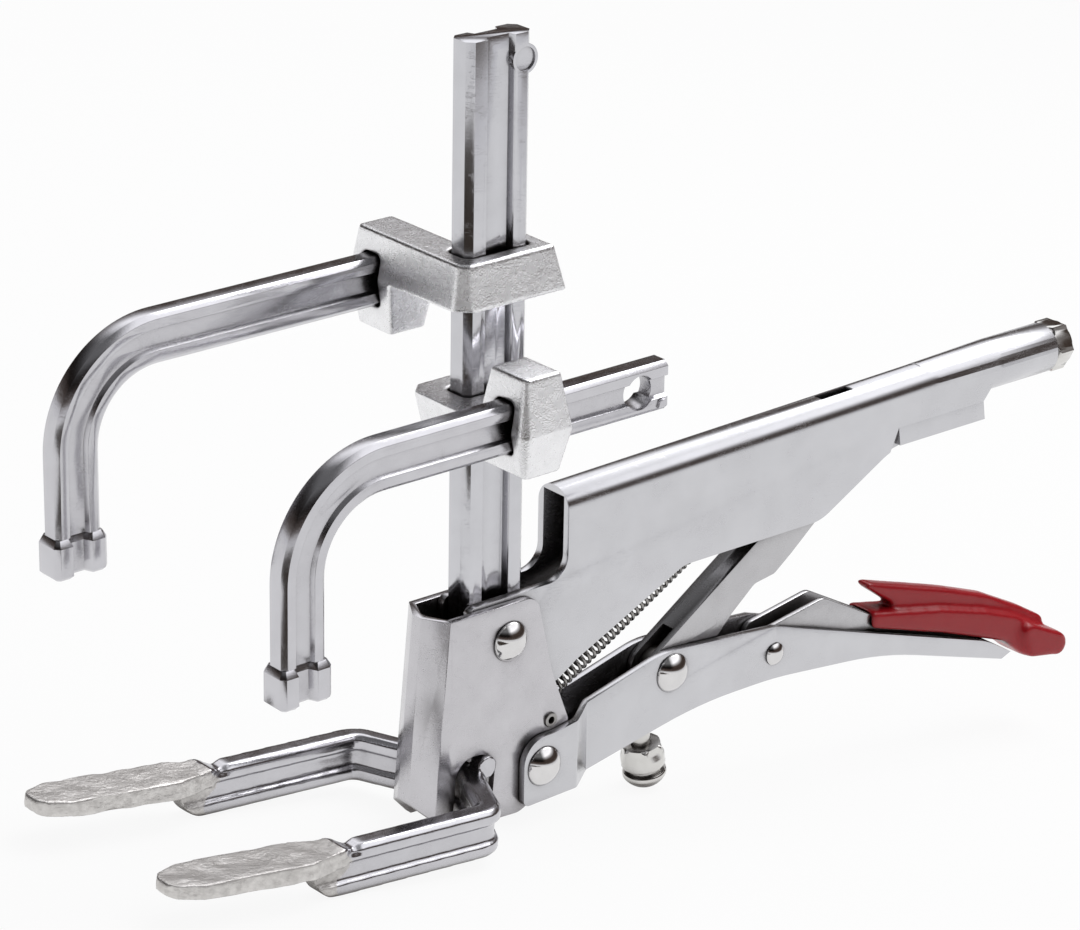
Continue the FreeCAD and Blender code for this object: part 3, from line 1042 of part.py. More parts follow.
def build():
    """Makes every sub-part and puts it in its place in the tool frame."""
    pieces = [make_rail()]
    upper = put(make_slide("upper_slide"), z="upper_slide_top")
    lower = put(make_slide("lower_slide"), z="lower_slide_foot", axis=Vec(1, 0, 0), angle=180)
    pieces += [upper, lower]
    pieces.append(put(make_arm("upper_arm"), "upper_arm_tail", "-1*slide_arm_side", "upper_slide_top - slide_arm_down"))
    pieces.append(put(make_arm("lower_arm"), "lower_arm_tail", "slide_arm_side", "lower_slide_foot + slide_arm_down"))
    pieces.append(make_upper_handle())
    jaw_place = FreeCAD.Placement(in_jaw("0", "0"), FreeCAD.Rotation(Vec(0, 1, 0), -val("jaw_tilt")))
    for item in (make_jaw_housing(), make_fork()):
        item.Placement = jaw_place
        pieces.append(item)
    main = make_rivet("main_rivet", "rivet_radius", "rivet_head", "rivet_dome", f"2*({JAW_OUTER} + side_gap/2)")
    pieces.append(put(main, x="-1*pivot_back"))
    lever_spot = in_jaw("-1*lever_pivot_back", "-1*lever_pivot_low")
    handle_rivet = make_rivet("handle_rivet", "rivet_radius", "rivet_head", "rivet_dome",
                              f"2*({LOBE_OUTER} + side_gap/2)")
    handle_rivet.Placement.Base = lever_spot
    bush = make_ring("handle_bush", "rivet_radius + 1.6", "rivet_radius + pin_gap", f"2*{JAW_INNER}")
    bush.Placement = FreeCAD.Placement(lever_spot, FreeCAD.Rotation())
    pieces += [handle_rivet, bush]
    pin = make_ring("spring_pin", "spring_pin_radius", "spring_pin_bore", f"2*{JAW_OUTER} + 1")
    pin.Placement.Base = in_jaw("-1*spring_pin_back", "-1*spring_pin_low")
    pieces.append(pin)
    lever = make_lower_handle()
    lever.Placement.Base = lever_spot
    pieces.append(lever)
    link_spot = lever_spot + Vec(-val("link_pivot_back"), 0, val("link_pivot_high"))
    link_rivet = make_rivet("link_rivet", "rivet_radius", "rivet_head", "rivet_dome", "lever_wide + side_gap")
    link_rivet.Placement.Base = link_spot
    link_bush = make_ring("link_bush", "rivet_radius + 1.4", "rivet_radius + pin_gap", f"2*({LINK_OUTER} - link_sheet)")
    link_bush.Placement.Base = link_spot
    link = make_toggle_link()
    link.Placement = FreeCAD.Placement(link_spot, FreeCAD.Rotation(Vec(0, 1, 0), -val("link_angle")))
    pieces += [link_rivet, link_bush, link]
    release_spot = lever_spot + Vec(-val("release_pivot_back"), 0, val("release_pivot_high"))
    release_rivet = make_rivet("release_rivet", "small_rivet_radius", "small_rivet_head", "small_rivet_dome",
                               "lever_wide + side_gap")
    release_rivet.Placement.Base = release_spot
    release, grip = make_release_lever(), make_grip()
    release.Placement.Base = release_spot
    grip.Placement.Base = release_spot
    pieces += [release_rivet, release, grip]
    anchor = make_pin("spring_anchor", "anchor_radius", "handle_wide - 2*handle_sheet")
    anchor.Placement.Base += Vec(-val("anchor_back"), 0, val("anchor_high"))
    rail_pin = make_pin("rail_pin", "rail_pin_radius", "handle_wide")
    rail_pin.Placement.Base += Vec(val("rail_pin_ahead"), 0, val("rail_pin_up"))
    pieces += [anchor, rail_pin]
    pieces.append(make_spring("tension_spring", in_jaw("-1*spring_pin_back", "-1*spring_pin_low"),
                              Vec(-val("anchor_back"), 0, val("anchor_high"))))
    pieces += [make_adjusting_screw(), make_screw_bush()]
    knob = make_stop_screw()
    knob.Placement = lever.Placement.multiply(knob_place())
    pieces.append(knob)
    return pieces


def stand(pieces):
    """Leans the tool forward as it rests, sets its lowest point on Z = 0 and centres its box on the origin."""
    lean = FreeCAD.Placement(Vec(0, 0, 0), FreeCAD.Rotation(Vec(0, 1, 0), val("rest_pitch")))
    for item in pieces:
        item.Placement = lean.multiply(item.Placement)
    doc.recompute()
    box = FreeCAD.BoundBox()
    for item in pieces:
        box.add(item.Shape.optimalBoundingBox(False))
    shift = Vec(-box.Center.x, -box.Center.y, -box.ZMin)
    for item in pieces:
        item.Placement.Base = item.Placement.Base + shift
    doc.recompute()


def write(pieces):
    """Checks each object and writes one STEP file for each sub-part."""
    for item in doc.Objects:
        if "Invalid" in item.State or "Error" in item.State:
            raise ValueError(f"{item.Label} is {item.State}")
    for item in pieces:
        if not item.Shape.isValid() or item.Shape.Volume <= 0:
            raise ValueError(f"{item.Label} has no valid solid")
        item.Shape.exportStep(f"parts/{item.Label}.step")


doc.recompute()
PIECES = build()
doc.recompute()
stand(PIECES)
write(PIECES)
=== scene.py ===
"""Welding locking pliers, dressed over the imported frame: plated steel, cast slides and a dipped red grip."""

from __future__ import annotations

import json
import logging
import math
from contextlib import contextmanager
from dataclasses import dataclass, field
from enum import Enum
from typing import Callable, Iterator, Mapping, Sequence

import bmesh
import bpy
from mathutils import Matrix, Vector, noise

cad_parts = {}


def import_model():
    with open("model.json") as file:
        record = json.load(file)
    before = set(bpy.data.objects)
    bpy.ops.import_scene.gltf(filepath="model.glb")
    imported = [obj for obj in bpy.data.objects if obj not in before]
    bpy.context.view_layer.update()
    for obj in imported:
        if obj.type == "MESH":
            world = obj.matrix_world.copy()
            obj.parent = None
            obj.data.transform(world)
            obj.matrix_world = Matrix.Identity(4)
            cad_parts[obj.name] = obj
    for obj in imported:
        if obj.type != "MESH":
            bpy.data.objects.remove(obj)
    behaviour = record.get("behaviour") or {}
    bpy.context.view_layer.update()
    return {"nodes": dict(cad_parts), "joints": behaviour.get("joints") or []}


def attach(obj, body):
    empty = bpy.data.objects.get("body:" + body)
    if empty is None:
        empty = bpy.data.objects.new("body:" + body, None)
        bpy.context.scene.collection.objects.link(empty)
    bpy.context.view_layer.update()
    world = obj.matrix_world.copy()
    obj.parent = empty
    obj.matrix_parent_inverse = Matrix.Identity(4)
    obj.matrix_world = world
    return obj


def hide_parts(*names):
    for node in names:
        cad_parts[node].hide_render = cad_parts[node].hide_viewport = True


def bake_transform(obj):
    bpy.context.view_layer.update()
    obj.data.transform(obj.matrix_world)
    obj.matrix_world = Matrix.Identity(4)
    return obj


LOG = logging.getLogger("pliers")
MM = 0.001
SIDEWAYS = Vector((0.0, 1.0, 0.0))


class Body(Enum):
    """The moving bodies of the tool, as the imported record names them."""

    FRAME = "frame"
    UPPER_SLIDER = "upper_slider"
    UPPER_ARM = "upper_clamp_arm"
    LOWER_SLIDER = "lower_slider"
    LOWER_ARM = "lower_clamp_arm"
    JAW = "jaw"
    LEVER = "lever"
    LINK = "link"
    RELEASE = "release"
    ADJUSTER = "adjuster"
    STOPPER = "stopper"


# Places in the tool's own frame


def turn_to(*axes: Vector) -> Matrix:
    """The rotation that takes X, Y and Z to three unit vectors."""
    return Matrix(axes).transposed().to_4x4()


@dataclass(frozen=True)
class ToolFrame:
    """The tool's own frame, in which the rail is upright, inside the row frame, in which the tool rests.

    Attributes:
        pivot: The main pivot in the row frame, in metres.
        forward: Unit vector towards the jaws.
        upward: Unit vector along the rail.
        pivot_back: Distance of the pivot behind the rail's middle, in millimetres.
    """

    pivot: Vector
    forward: Vector
    upward: Vector
    pivot_back: float = 2.0

    @classmethod
    def from_joints(cls, named: Mapping[str, dict]) -> ToolFrame:
        """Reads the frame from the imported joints.

        Args:
            named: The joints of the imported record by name.

        Returns:
            The tool's frame.
        """
        return cls(
            pivot=Vector(named["jaw_swing"]["pos_m"]),
            forward=Vector(named["upper_arm_reach"]["axis"]).normalized(),
            upward=Vector(named["upper_slide_travel"]["axis"]).normalized(),
        )

    def direction(self, ahead: float, side: float, up: float) -> Vector:
        """A direction of the tool's frame, in the row frame."""
        return self.forward * ahead + SIDEWAYS * side + self.upward * up

    def point(self, ahead: float, side: float, up: float) -> Vector:
        """A point in millimetres of the tool's frame, in the row frame in metres."""
        return self.pivot + self.direction(ahead + self.pivot_back, side, up) * MM

    def matrix(self) -> Matrix:
        """The matrix that takes millimetres of the tool's frame to metres of the row frame."""
        turn = turn_to(self.forward, SIDEWAYS, self.upward)
        return Matrix.Translation(self.point(0.0, 0.0, 0.0)) @ turn @ Matrix.Scale(MM, 4)


# Shader node groups that several finishes share

MIX_FACTOR, MIX_FIRST, MIX_SECOND, MIX_RESULT = 0, 6, 7, 2


@dataclass
class NodeCanvas:
    """A thin helper round a node tree.

    Attributes:
        tree: The tree that the nodes go into.
    """

    tree: bpy.types.NodeTree

    def feed(self, node: bpy.types.Node, inputs: dict) -> None:
        """Links or sets a node's inputs.

        Args:
            node: The node.
            inputs: Sockets to link or plain values to set, by the input's name or number.
        """
        for name, value in inputs.items():
            if isinstance(value, bpy.types.NodeSocket):
                self.tree.links.new(value, node.inputs[name])
            elif value is not None:
                node.inputs[name].default_value = value

    def add(self, kind: str, inputs: dict | None = None, **settings: object) -> bpy.types.Node:
        """Adds a node.

        Args:
            kind: The node's type name.
            inputs: What its inputs get, as in feed.
            **settings: Properties of the node.

        Returns:
            The new node.
        """
        node = self.tree.nodes.new(kind)
        for name, value in settings.items():
            setattr(node, name, value)
        self.feed(node, inputs or {})
        return node

    def group(self, tree: bpy.types.NodeTree, values: dict[str, float]) -> bpy.types.NodeOutputs:
        """Puts a group in with its own values and hands back its outputs."""
        return self.add("ShaderNodeGroup", values, node_tree=tree).outputs

    def math(self, operation: str, first: object, second: object = None,
             third: object = None) -> bpy.types.NodeSocket:
        """The result of a Math node on sockets or numbers."""
        inputs = dict(enumerate((first, second, third)))
        return self.add("ShaderNodeMath", inputs, operation=operation).outputs[0]

    def mix(self, factor: object, first: object, second: object, blend: str = "MIX") -> bpy.types.NodeSocket:
        """The result of a colour Mix node on sockets or colours, its factor a socket or a number."""
        inputs = {MIX_FACTOR: factor, MIX_FIRST: first, MIX_SECOND: second}
        return self.add("ShaderNodeMix", inputs, data_type="RGBA", blend_type=blend).outputs[MIX_RESULT]

    def noise(self, vector: bpy.types.NodeSocket, scale: object, detail: float = 2.0) -> bpy.types.NodeSocket:
        """The value of a Noise Texture at a place in millimetres, with a scale and a number of octaves."""
        inputs = {"Vector": vector, "Scale": scale, "Detail": detail}
        return self.add("ShaderNodeTexNoise", inputs).outputs["Fac"]

    def bump(self, height: bpy.types.NodeSocket, distance: float) -> bpy.types.NodeSocket:
        """The normal of a Bump node, its distance in millimetres."""
        inputs = {"Strength": 1.0, "Distance": distance * MM, "Height": height}
        return self.add("ShaderNodeBump", inputs).outputs["Normal"]

    def millimetres(self) -> bpy.types.NodeSocket:
        """Object coordinates in millimetres."""
        place = self.add("ShaderNodeTexCoord").outputs["Object"]
        inputs = {0: place, "Scale": 1.0 / MM}
        return self.add("ShaderNodeVectorMath", inputs, operation="SCALE").outputs[0]


def new_group(name: str, inputs: dict[str, float], outputs: Sequence[str]) -> tuple:
    """Makes an empty shader group.

    Args:
        name: The group's name.
        inputs: Its inputs with their defaults, all plain numbers.
        outputs: Names of its outputs, all plain numbers.

    Returns:
        A canvas on the group, the sockets that its inputs arrive at, and its output node.
    """
    group = bpy.data.node_groups.new(name, "ShaderNodeTree")
    for item, value in inputs.items():
        socket = group.interface.new_socket(name=item, in_out="INPUT", socket_type="NodeSocketFloat")
        socket.default_value = value
    for item in outputs:
        group.interface.new_socket(name=item, in_out="OUTPUT", socket_type="NodeSocketFloat")
    canvas = NodeCanvas(group)
    return canvas, canvas.add("NodeGroupInput").outputs, canvas.add("NodeGroupOutput")


def new_material(name: str) -> tuple[bpy.types.Material, NodeCanvas, bpy.types.Node]:
    """Makes a material and hands it back with a canvas on its nodes and its shader."""
    material = bpy.data.materials.new(name)
    material.use_nodes = True
    return material, NodeCanvas(material.node_tree), material.node_tree.nodes["Principled BSDF"]


def opaque(color: Sequence[float]) -> tuple[float, ...]:
    """A colour with full alpha."""
    return (*color, 1.0)


class ShaderGroups:
    """The effects that more than one finish uses, each built once."""

    def __init__(self) -> None:
        """Builds every group."""
        self.relief = self._relief()
        self.scratches = self._scratches()
        self.painted_shade_and_stain = self._painted_shade()
        self.pits = self._pits()

    @staticmethod
    def _relief() -> bpy.types.NodeTree:
        """Slow waves and a fine grain, as on pressed and plated steel."""
        values = {"Wave Scale": 0.08, "Wave Height": 0.6, "Grain Scale": 1.4, "Grain Height": 0.1}
        canvas, given, out = new_group("surface_relief", values, ["Height", "Patches"])
        finer, octaves = 2.3, 4.0
        place = canvas.millimetres()
        wave = canvas.noise(place, given["Wave Scale"], 1.0)
        grain = canvas.noise(place, given["Grain Scale"], 3.0)
        tall = canvas.math("MULTIPLY", wave, given["Wave Height"])
        height = canvas.math("MULTIPLY_ADD", grain, given["Grain Height"], tall)
        patches = canvas.noise(place, canvas.math("MULTIPLY", given["Wave Scale"], finer), octaves)
        canvas.feed(out, {"Height": height, "Patches": patches})
        return canvas.tree

    @staticmethod
    def _scratches() -> bpy.types.NodeTree:
        """Fine handling scratches, as thin lines of a noise stretched two ways and broken up."""
        canvas, given, out = new_group("handling_scratches", {"Scale": 0.35, "Amount": 0.5}, ["Mask"])
        thinness, gap_scale, gap_share = 42.0, 0.22, 0.52
        place = canvas.millimetres()
        total = 0.0
        for turn, stretch in ((0.5, (0.25, 3.0, 0.4)), (2.1, (0.3, 0.5, 3.2))):
            turned = (turn, turn * 0.7, turn * 1.3)
            mapping = canvas.add("ShaderNodeMapping", {"Vector": place, "Rotation": turned, "Scale": stretch})
            lines = canvas.noise(mapping.outputs[0], given["Scale"], 5.0)
            aside = canvas.math("ABSOLUTE", canvas.math("SUBTRACT", lines, 0.5))
            thin = canvas.math("SUBTRACT", 1.0, canvas.math("MULTIPLY", aside, thinness))
            total = canvas.math("MAXIMUM", thin, total)
        broken = canvas.math("GREATER_THAN", canvas.noise(place, gap_scale), gap_share)
        masked = canvas.math("MULTIPLY", canvas.math("MULTIPLY", total, broken), given["Amount"])
        canvas.feed(out, {"Mask": masked})
        return canvas.tree

    @staticmethod
    def _painted_shade() -> bpy.types.NodeTree:
        """Painted shade where two surfaces meet and deep inside, from ambient occlusion."""
        canvas, given, out = new_group("painted_corner_shade", {"Reach": 4.0, "Amount": 0.8}, ["Mask"])
        inside_reach, inside_from, inside_steep, rays = 18.0 * MM, 0.46, 3.6, 6
        dark = []
        for distance in (canvas.math("MULTIPLY", given["Reach"], MM), inside_reach):
            hidden = canvas.add("ShaderNodeAmbientOcclusion", {"Distance": distance}, samples=rays)
            dark.append(canvas.math("SUBTRACT", 1.0, hidden.outputs["AO"]))
        closed, covered = dark
        deep = canvas.math("MULTIPLY", canvas.math("SUBTRACT", covered, inside_from), inside_steep)
        deep = canvas.math("MAXIMUM", deep, 0.0)
        broken = canvas.math("MULTIPLY_ADD", canvas.noise(canvas.millimetres(), 0.5, 4.0), 0.8, 0.6)
        mask = canvas.math("MULTIPLY", canvas.math("MULTIPLY", closed, broken), given["Amount"])
        canvas.feed(out, {"Mask": canvas.math("MINIMUM", canvas.math("MAXIMUM", mask, deep), 1.0)})
        return canvas.tree

    @staticmethod
    def _pits() -> bpy.types.NodeTree:
        """Sand-cast or hammered pits: cells with soft floors, some deep and most shallow."""
        canvas, given, out = new_group(
            "skin_pits", {"Scale": 0.9, "Depth": 1.0, "Share": 0.3}, ["Height", "Mask"])
        softness, here_scale, here_share, finer = 0.6, 0.45, 0.47, 3.1
        rough_height, pit_height, pit_mask = 0.35, 3.0, 6.0
        place = canvas.millimetres()
        inputs = {"Smoothness": softness, "Vector": place, "Scale": given["Scale"]}
        cells = canvas.add("ShaderNodeTexVoronoi", inputs, feature="SMOOTH_F1")
        near = canvas.math("SUBTRACT", given["Share"], cells.outputs["Distance"])
        here = canvas.math("GREATER_THAN", canvas.noise(place, here_scale), here_share)
        pit = canvas.math("MULTIPLY", canvas.math("MAXIMUM", near, 0.0), here)
        deep = canvas.math("MULTIPLY", pit, given["Depth"])
        rough = canvas.noise(place, canvas.math("MULTIPLY", given["Scale"], finer), 5.0)
        height = canvas.math("SUBTRACT", canvas.math("MULTIPLY", rough, rough_height),
                             canvas.math("MULTIPLY", deep, pit_height))
        mask = canvas.math("MINIMUM", canvas.math("MULTIPLY", deep, pit_mask), 1.0)
        canvas.feed(out, {"Height": height, "Mask": mask})
        return canvas.tree


# Finishes


@dataclass(frozen=True)
class MetalFinish:
    """A bare or plated metal skin.

    Attributes:
        name: The material's name.
        color: Linear colour of the clean metal.
        painted_shade_and_stain: Linear colour of the painted shade in corners and deep inside, of the darkened
            pits and of the cloudy stains.
        roughness: Roughness of the clean metal.
        patchiness: How much the roughness changes over the surface.
        wave: Height of the slow waves.
        wave_scale: Scale of the slow waves.
        grain: Height of the fine grain.
        grain_scale: Scale of the fine grain.
        scratches: Strength of handling scratches.
        painted_corner_shade: Strength of the painted shade in corners.
        reach: How far apart two surfaces may be and still paint shade on each other, in millimetres.
        pits: Depth of cast or forged pits.
        pit_scale: Scale of those pits.
        pit_share: Share of each cell that is a pit.
        bump: Distance of the bump, in millimetres.
        mottle: Strength of the cloudy stains.
    """

    name: str
    color: tuple[float, float, float]
    painted_shade_and_stain: tuple[float, float, float] = (0.045, 0.034, 0.028)
    roughness: float = 0.2
    patchiness: float = 0.1
    wave: float = 0.5
    wave_scale: float = 0.07
    grain: float = 0.05
    grain_scale: float = 1.6
    scratches: float = 0.3
    painted_corner_shade: float = 0.6
    reach: float = 4.0
    pits: float = 0.0
    pit_scale: float = 0.9
    pit_share: float = 0.3
    bump: float = 0.12
    mottle: float = 0.14

    def build(self, groups: ShaderGroups) -> bpy.types.Material:
        """Makes the material.

        Args:
            groups: The shared shader groups.

        Returns:
            The new material.
        """
        pit_darkening, scratch_rough, scratch_deep, darkened_rough, smoothest = 0.6, 0.18, -0.08, 0.25, 0.03
        material, canvas, shader = new_material(self.name)
        relief = canvas.group(groups.relief, {
            "Wave Scale": self.wave_scale, "Wave Height": self.wave,
            "Grain Scale": self.grain_scale, "Grain Height": self.grain})
        lines = canvas.group(groups.scratches, {"Amount": self.scratches})["Mask"]
        # Painted shade: darker colour where surfaces meet and deep inside, from ambient occlusion.
        painted_shade_and_pits = canvas.group(groups.painted_shade_and_stain, {"Amount": self.painted_corner_shade, "Reach": self.reach})["Mask"]
        height = relief["Height"]
        if self.pits > 0.0:
            skin = canvas.group(groups.pits, {
                "Scale": self.pit_scale, "Depth": self.pits, "Share": self.pit_share})
            height = canvas.math("ADD", height, skin["Height"])
            # The pits darken the colour as well.
            painted_shade_and_pits = canvas.math("MAXIMUM", painted_shade_and_pits, canvas.math("MULTIPLY", skin["Mask"], pit_darkening))
        # The dark colour goes on as painted shade, in the darker pits and as cloudy stains.
        clouds = canvas.math("MULTIPLY", relief["Patches"], self.mottle)
        color = canvas.mix(canvas.math("MAXIMUM", painted_shade_and_pits, clouds), opaque(self.color), opaque(self.painted_shade_and_stain))
        uneven = canvas.math("SUBTRACT", relief["Patches"], 0.5)
        rough = canvas.math("MULTIPLY_ADD", uneven, self.patchiness * 2.0, self.roughness)
        rough = canvas.math("MULTIPLY_ADD", lines, scratch_rough, rough)
        rough = canvas.math("MULTIPLY_ADD", painted_shade_and_pits, darkened_rough, rough)
        height = canvas.math("MULTIPLY_ADD", lines, scratch_deep, height)
        canvas.feed(shader, {
            "Metallic": 1.0, "Base Color": color, "Normal": canvas.bump(height, self.bump),
            "Roughness": canvas.math("MAXIMUM", rough, smoothest)})
        return material


@dataclass(frozen=True)
class DippedFinish:
    """A glossy dipped plastic skin.

    Attributes:
        name: The material's name.
        color: Linear colour of the thick skin.
        thin: Linear colour where the skin is thin or worn.
        shade: What the painted shade in corners leaves of the colour.
        roughness: Roughness of the skin.
        bump: Distance of the bump, in millimetres.
    """

    name: str
    color: tuple[float, float, float]
    thin: tuple[float, float, float]
    shade: tuple[float, float, float] = (0.35, 0.2, 0.2)
    roughness: float = 0.25
    bump: float = 0.15

    def build(self, groups: ShaderGroups) -> bpy.types.Material:
        """Makes the material.

        Args:
            groups: The shared shader groups.

        Returns:
            The new material.
        """
        worn_share, scratch_rough, patch_rough = 0.5, 0.2, 0.12
        material, canvas, shader = new_material(self.name)
        relief = canvas.group(groups.relief, {
            "Wave Scale": 0.12, "Wave Height": 1.0, "Grain Scale": 0.9, "Grain Height": 0.1})
        lines = canvas.group(groups.scratches, {"Amount": 0.5})["Mask"]
        # Painted shade in corners, from ambient occlusion, multiplied into the colour.
        painted_shade_and_stain = canvas.group(groups.painted_shade_and_stain, {"Amount": 0.5, "Reach": 3.0})["Mask"]
        worn = canvas.math("MULTIPLY", relief["Patches"], worn_share)
        color = canvas.mix(worn, opaque(self.color), opaque(self.thin))
        rough = canvas.math("MULTIPLY_ADD", lines, scratch_rough, self.roughness)
        canvas.feed(shader, {
            "Coat Weight": 0.12, "Coat Roughness": 0.08, "Specular IOR Level": 0.3, "IOR": 1.53,
            "Base Color": canvas.mix(painted_shade_and_stain, color, opaque(self.shade), "MULTIPLY"),
            "Roughness": canvas.math("MULTIPLY_ADD", relief["Patches"], patch_rough, rough),
            "Normal": canvas.bump(relief["Height"], self.bump)})
        return material


class Finish(Enum):
    """Every finish of the tool."""

    CAST = MetalFinish(
        "cast_nickel", (0.93, 0.93, 0.945), roughness=0.27, patchiness=0.05, wave=0.7, wave_scale=0.16,
        grain=0.9, grain_scale=2.2, scratches=0.0, painted_corner_shade=0.7, pits=0.5, pit_scale=1.15, pit_share=0.24)
    RAIL = MetalFinish(
        "rail_steel", (0.62, 0.62, 0.65), roughness=0.14, patchiness=0.05, wave=0.3, wave_scale=0.05,
        grain=0.04, scratches=0.4, painted_corner_shade=0.8)
    ARM = MetalFinish(
        "arm_steel", (0.62, 0.615, 0.645), roughness=0.19, patchiness=0.08, wave=0.4, wave_scale=0.06,
        grain=0.08, painted_corner_shade=0.85)
    FORGED = MetalFinish(
        "forged_pad", (0.84, 0.82, 0.80), roughness=0.44, patchiness=0.16, wave=1.0, wave_scale=0.2,
        grain=0.9, grain_scale=0.8, scratches=0.5, painted_corner_shade=0.7, pits=0.25, pit_scale=0.6, pit_share=0.2,
        bump=0.25, mottle=0.4)
    HANDLE = MetalFinish(
        "handle_sheet", (0.64, 0.64, 0.665), roughness=0.22, patchiness=0.06, wave=0.45, wave_scale=0.035,
        grain=0.03, grain_scale=2.2, painted_corner_shade=0.8, reach=9.0)
    HOUSING = MetalFinish(
        "housing_sheet", (0.62, 0.61, 0.635), roughness=0.24, patchiness=0.08, wave_scale=0.05,
        grain=0.04, grain_scale=1.8, painted_corner_shade=0.9, reach=9.0)
    LINK = MetalFinish(
        "link_sheet", (0.55, 0.545, 0.56), roughness=0.24, wave_scale=0.05, painted_corner_shade=1.0, reach=8.0)
    RIVET = MetalFinish(
        "rivet_polish", (0.74, 0.73, 0.73), roughness=0.09, patchiness=0.04, wave=0.3, wave_scale=0.12,
        grain=0.03, scratches=0.2, painted_corner_shade=0.9, bump=0.06)
    SCREW = MetalFinish(
        "screw_plated", (0.72, 0.71, 0.69), roughness=0.13, patchiness=0.06, wave=0.4, wave_scale=0.1,
        painted_corner_shade=0.9, bump=0.08)
    PLAIN = MetalFinish("pin_steel", (0.40, 0.39, 0.38), roughness=0.32, painted_corner_shade=1.0)
    SPRING = MetalFinish(
        "spring_wire", (0.36, 0.35, 0.34), roughness=0.22, patchiness=0.08, wave=0.2, scratches=0.2,
        painted_corner_shade=1.0, bump=0.05)
    GRIP = DippedFinish("red_grip", (0.36, 0.006, 0.012), (0.46, 0.012, 0.02))


class MaterialShop:
    """Builds each finish once and hands it out."""

    def __init__(self) -> None:
        """Builds the groups; the materials come when first asked for."""
        self.groups = ShaderGroups()
        self._made: dict[Finish, bpy.types.Material] = {}

    def get(self, finish: Finish) -> bpy.types.Material:
        """The material of a finish, built at first use."""
        if finish not in self._made:
            self._made[finish] = finish.value.build(self.groups)
        return self._made[finish]


# Mesh work that every piece shares


def add_object(name: str, data: bpy.types.ID) -> bpy.types.Object:
    """Puts a new object with this data at the origin of the scene."""
    thing = bpy.data.objects.new(name, data)
    bpy.context.scene.collection.objects.link(thing)
    return thing


@contextmanager
def editing(mesh: bpy.types.Mesh) -> Iterator[bmesh.types.BMesh]:
    """Opens a mesh for editing and writes the result back."""
    work = bmesh.new()
    work.from_mesh(mesh)
    yield work
    work.to_mesh(mesh)
    work.free()


def around(sides: int) -> list[float]:
    """Angles of evenly spaced steps round a full turn."""
    return [2.0 * math.pi * step / sides for step in range(sides)]


@dataclass(frozen=True)
class Station:
    """One ring of a turned piece.

    Attributes:
        radius: Its radius in millimetres, 0 on the axis.
        height: Its height along the axis in millimetres.
        flat: Half the width across the flats where the piece is hexagonal there, else 0.
    """

    radius: float
    height: float
    flat: float = 0.0

    def spot(self, turn: float) -> Vector:
        """The ring's point at a turn about the axis, in millimetres."""
        radius = self.radius
        if self.flat:
            sector = turn % (math.pi / 3.0) - math.pi / 6.0
            radius = min(radius, self.flat / math.cos(sector))
        return Vector((radius * math.cos(turn), radius * math.sin(turn), self.height))


def cap(radius: float, rise: float, level: float, steps: int = 12) -> list[Station]:
    """Stations of a round cap from its rim to its top.

    Args:
        radius: Radius of the rim.
        rise: Height of the cap, negative where it points down.
        level: Height of the rim.
        steps: Number of rings.

    Returns:
        The stations, the last of them on the axis.
    """
    ball = (radius * radius + rise * rise) / (2.0 * abs(rise))
    reach = math.asin(min(radius / ball, 1.0))
    sign = math.copysign(1.0, rise)
    found = []
    for step in range(steps + 1):
        angle = reach * (1.0 - step / steps)
        high = ball * (math.cos(angle) - math.cos(reach))
        found.append(Station(ball * math.sin(angle) if step < steps else 0.0, level + sign * high))
    return found


def cloud(spot: Vector, scale: float, seed: float = 0.0) -> float:
    """Smooth noise from 0 to 1 at a point in millimetres."""
    return 0.5 + 0.5 * noise.noise(spot * scale + Vector((seed, seed * 1.7, -seed)))


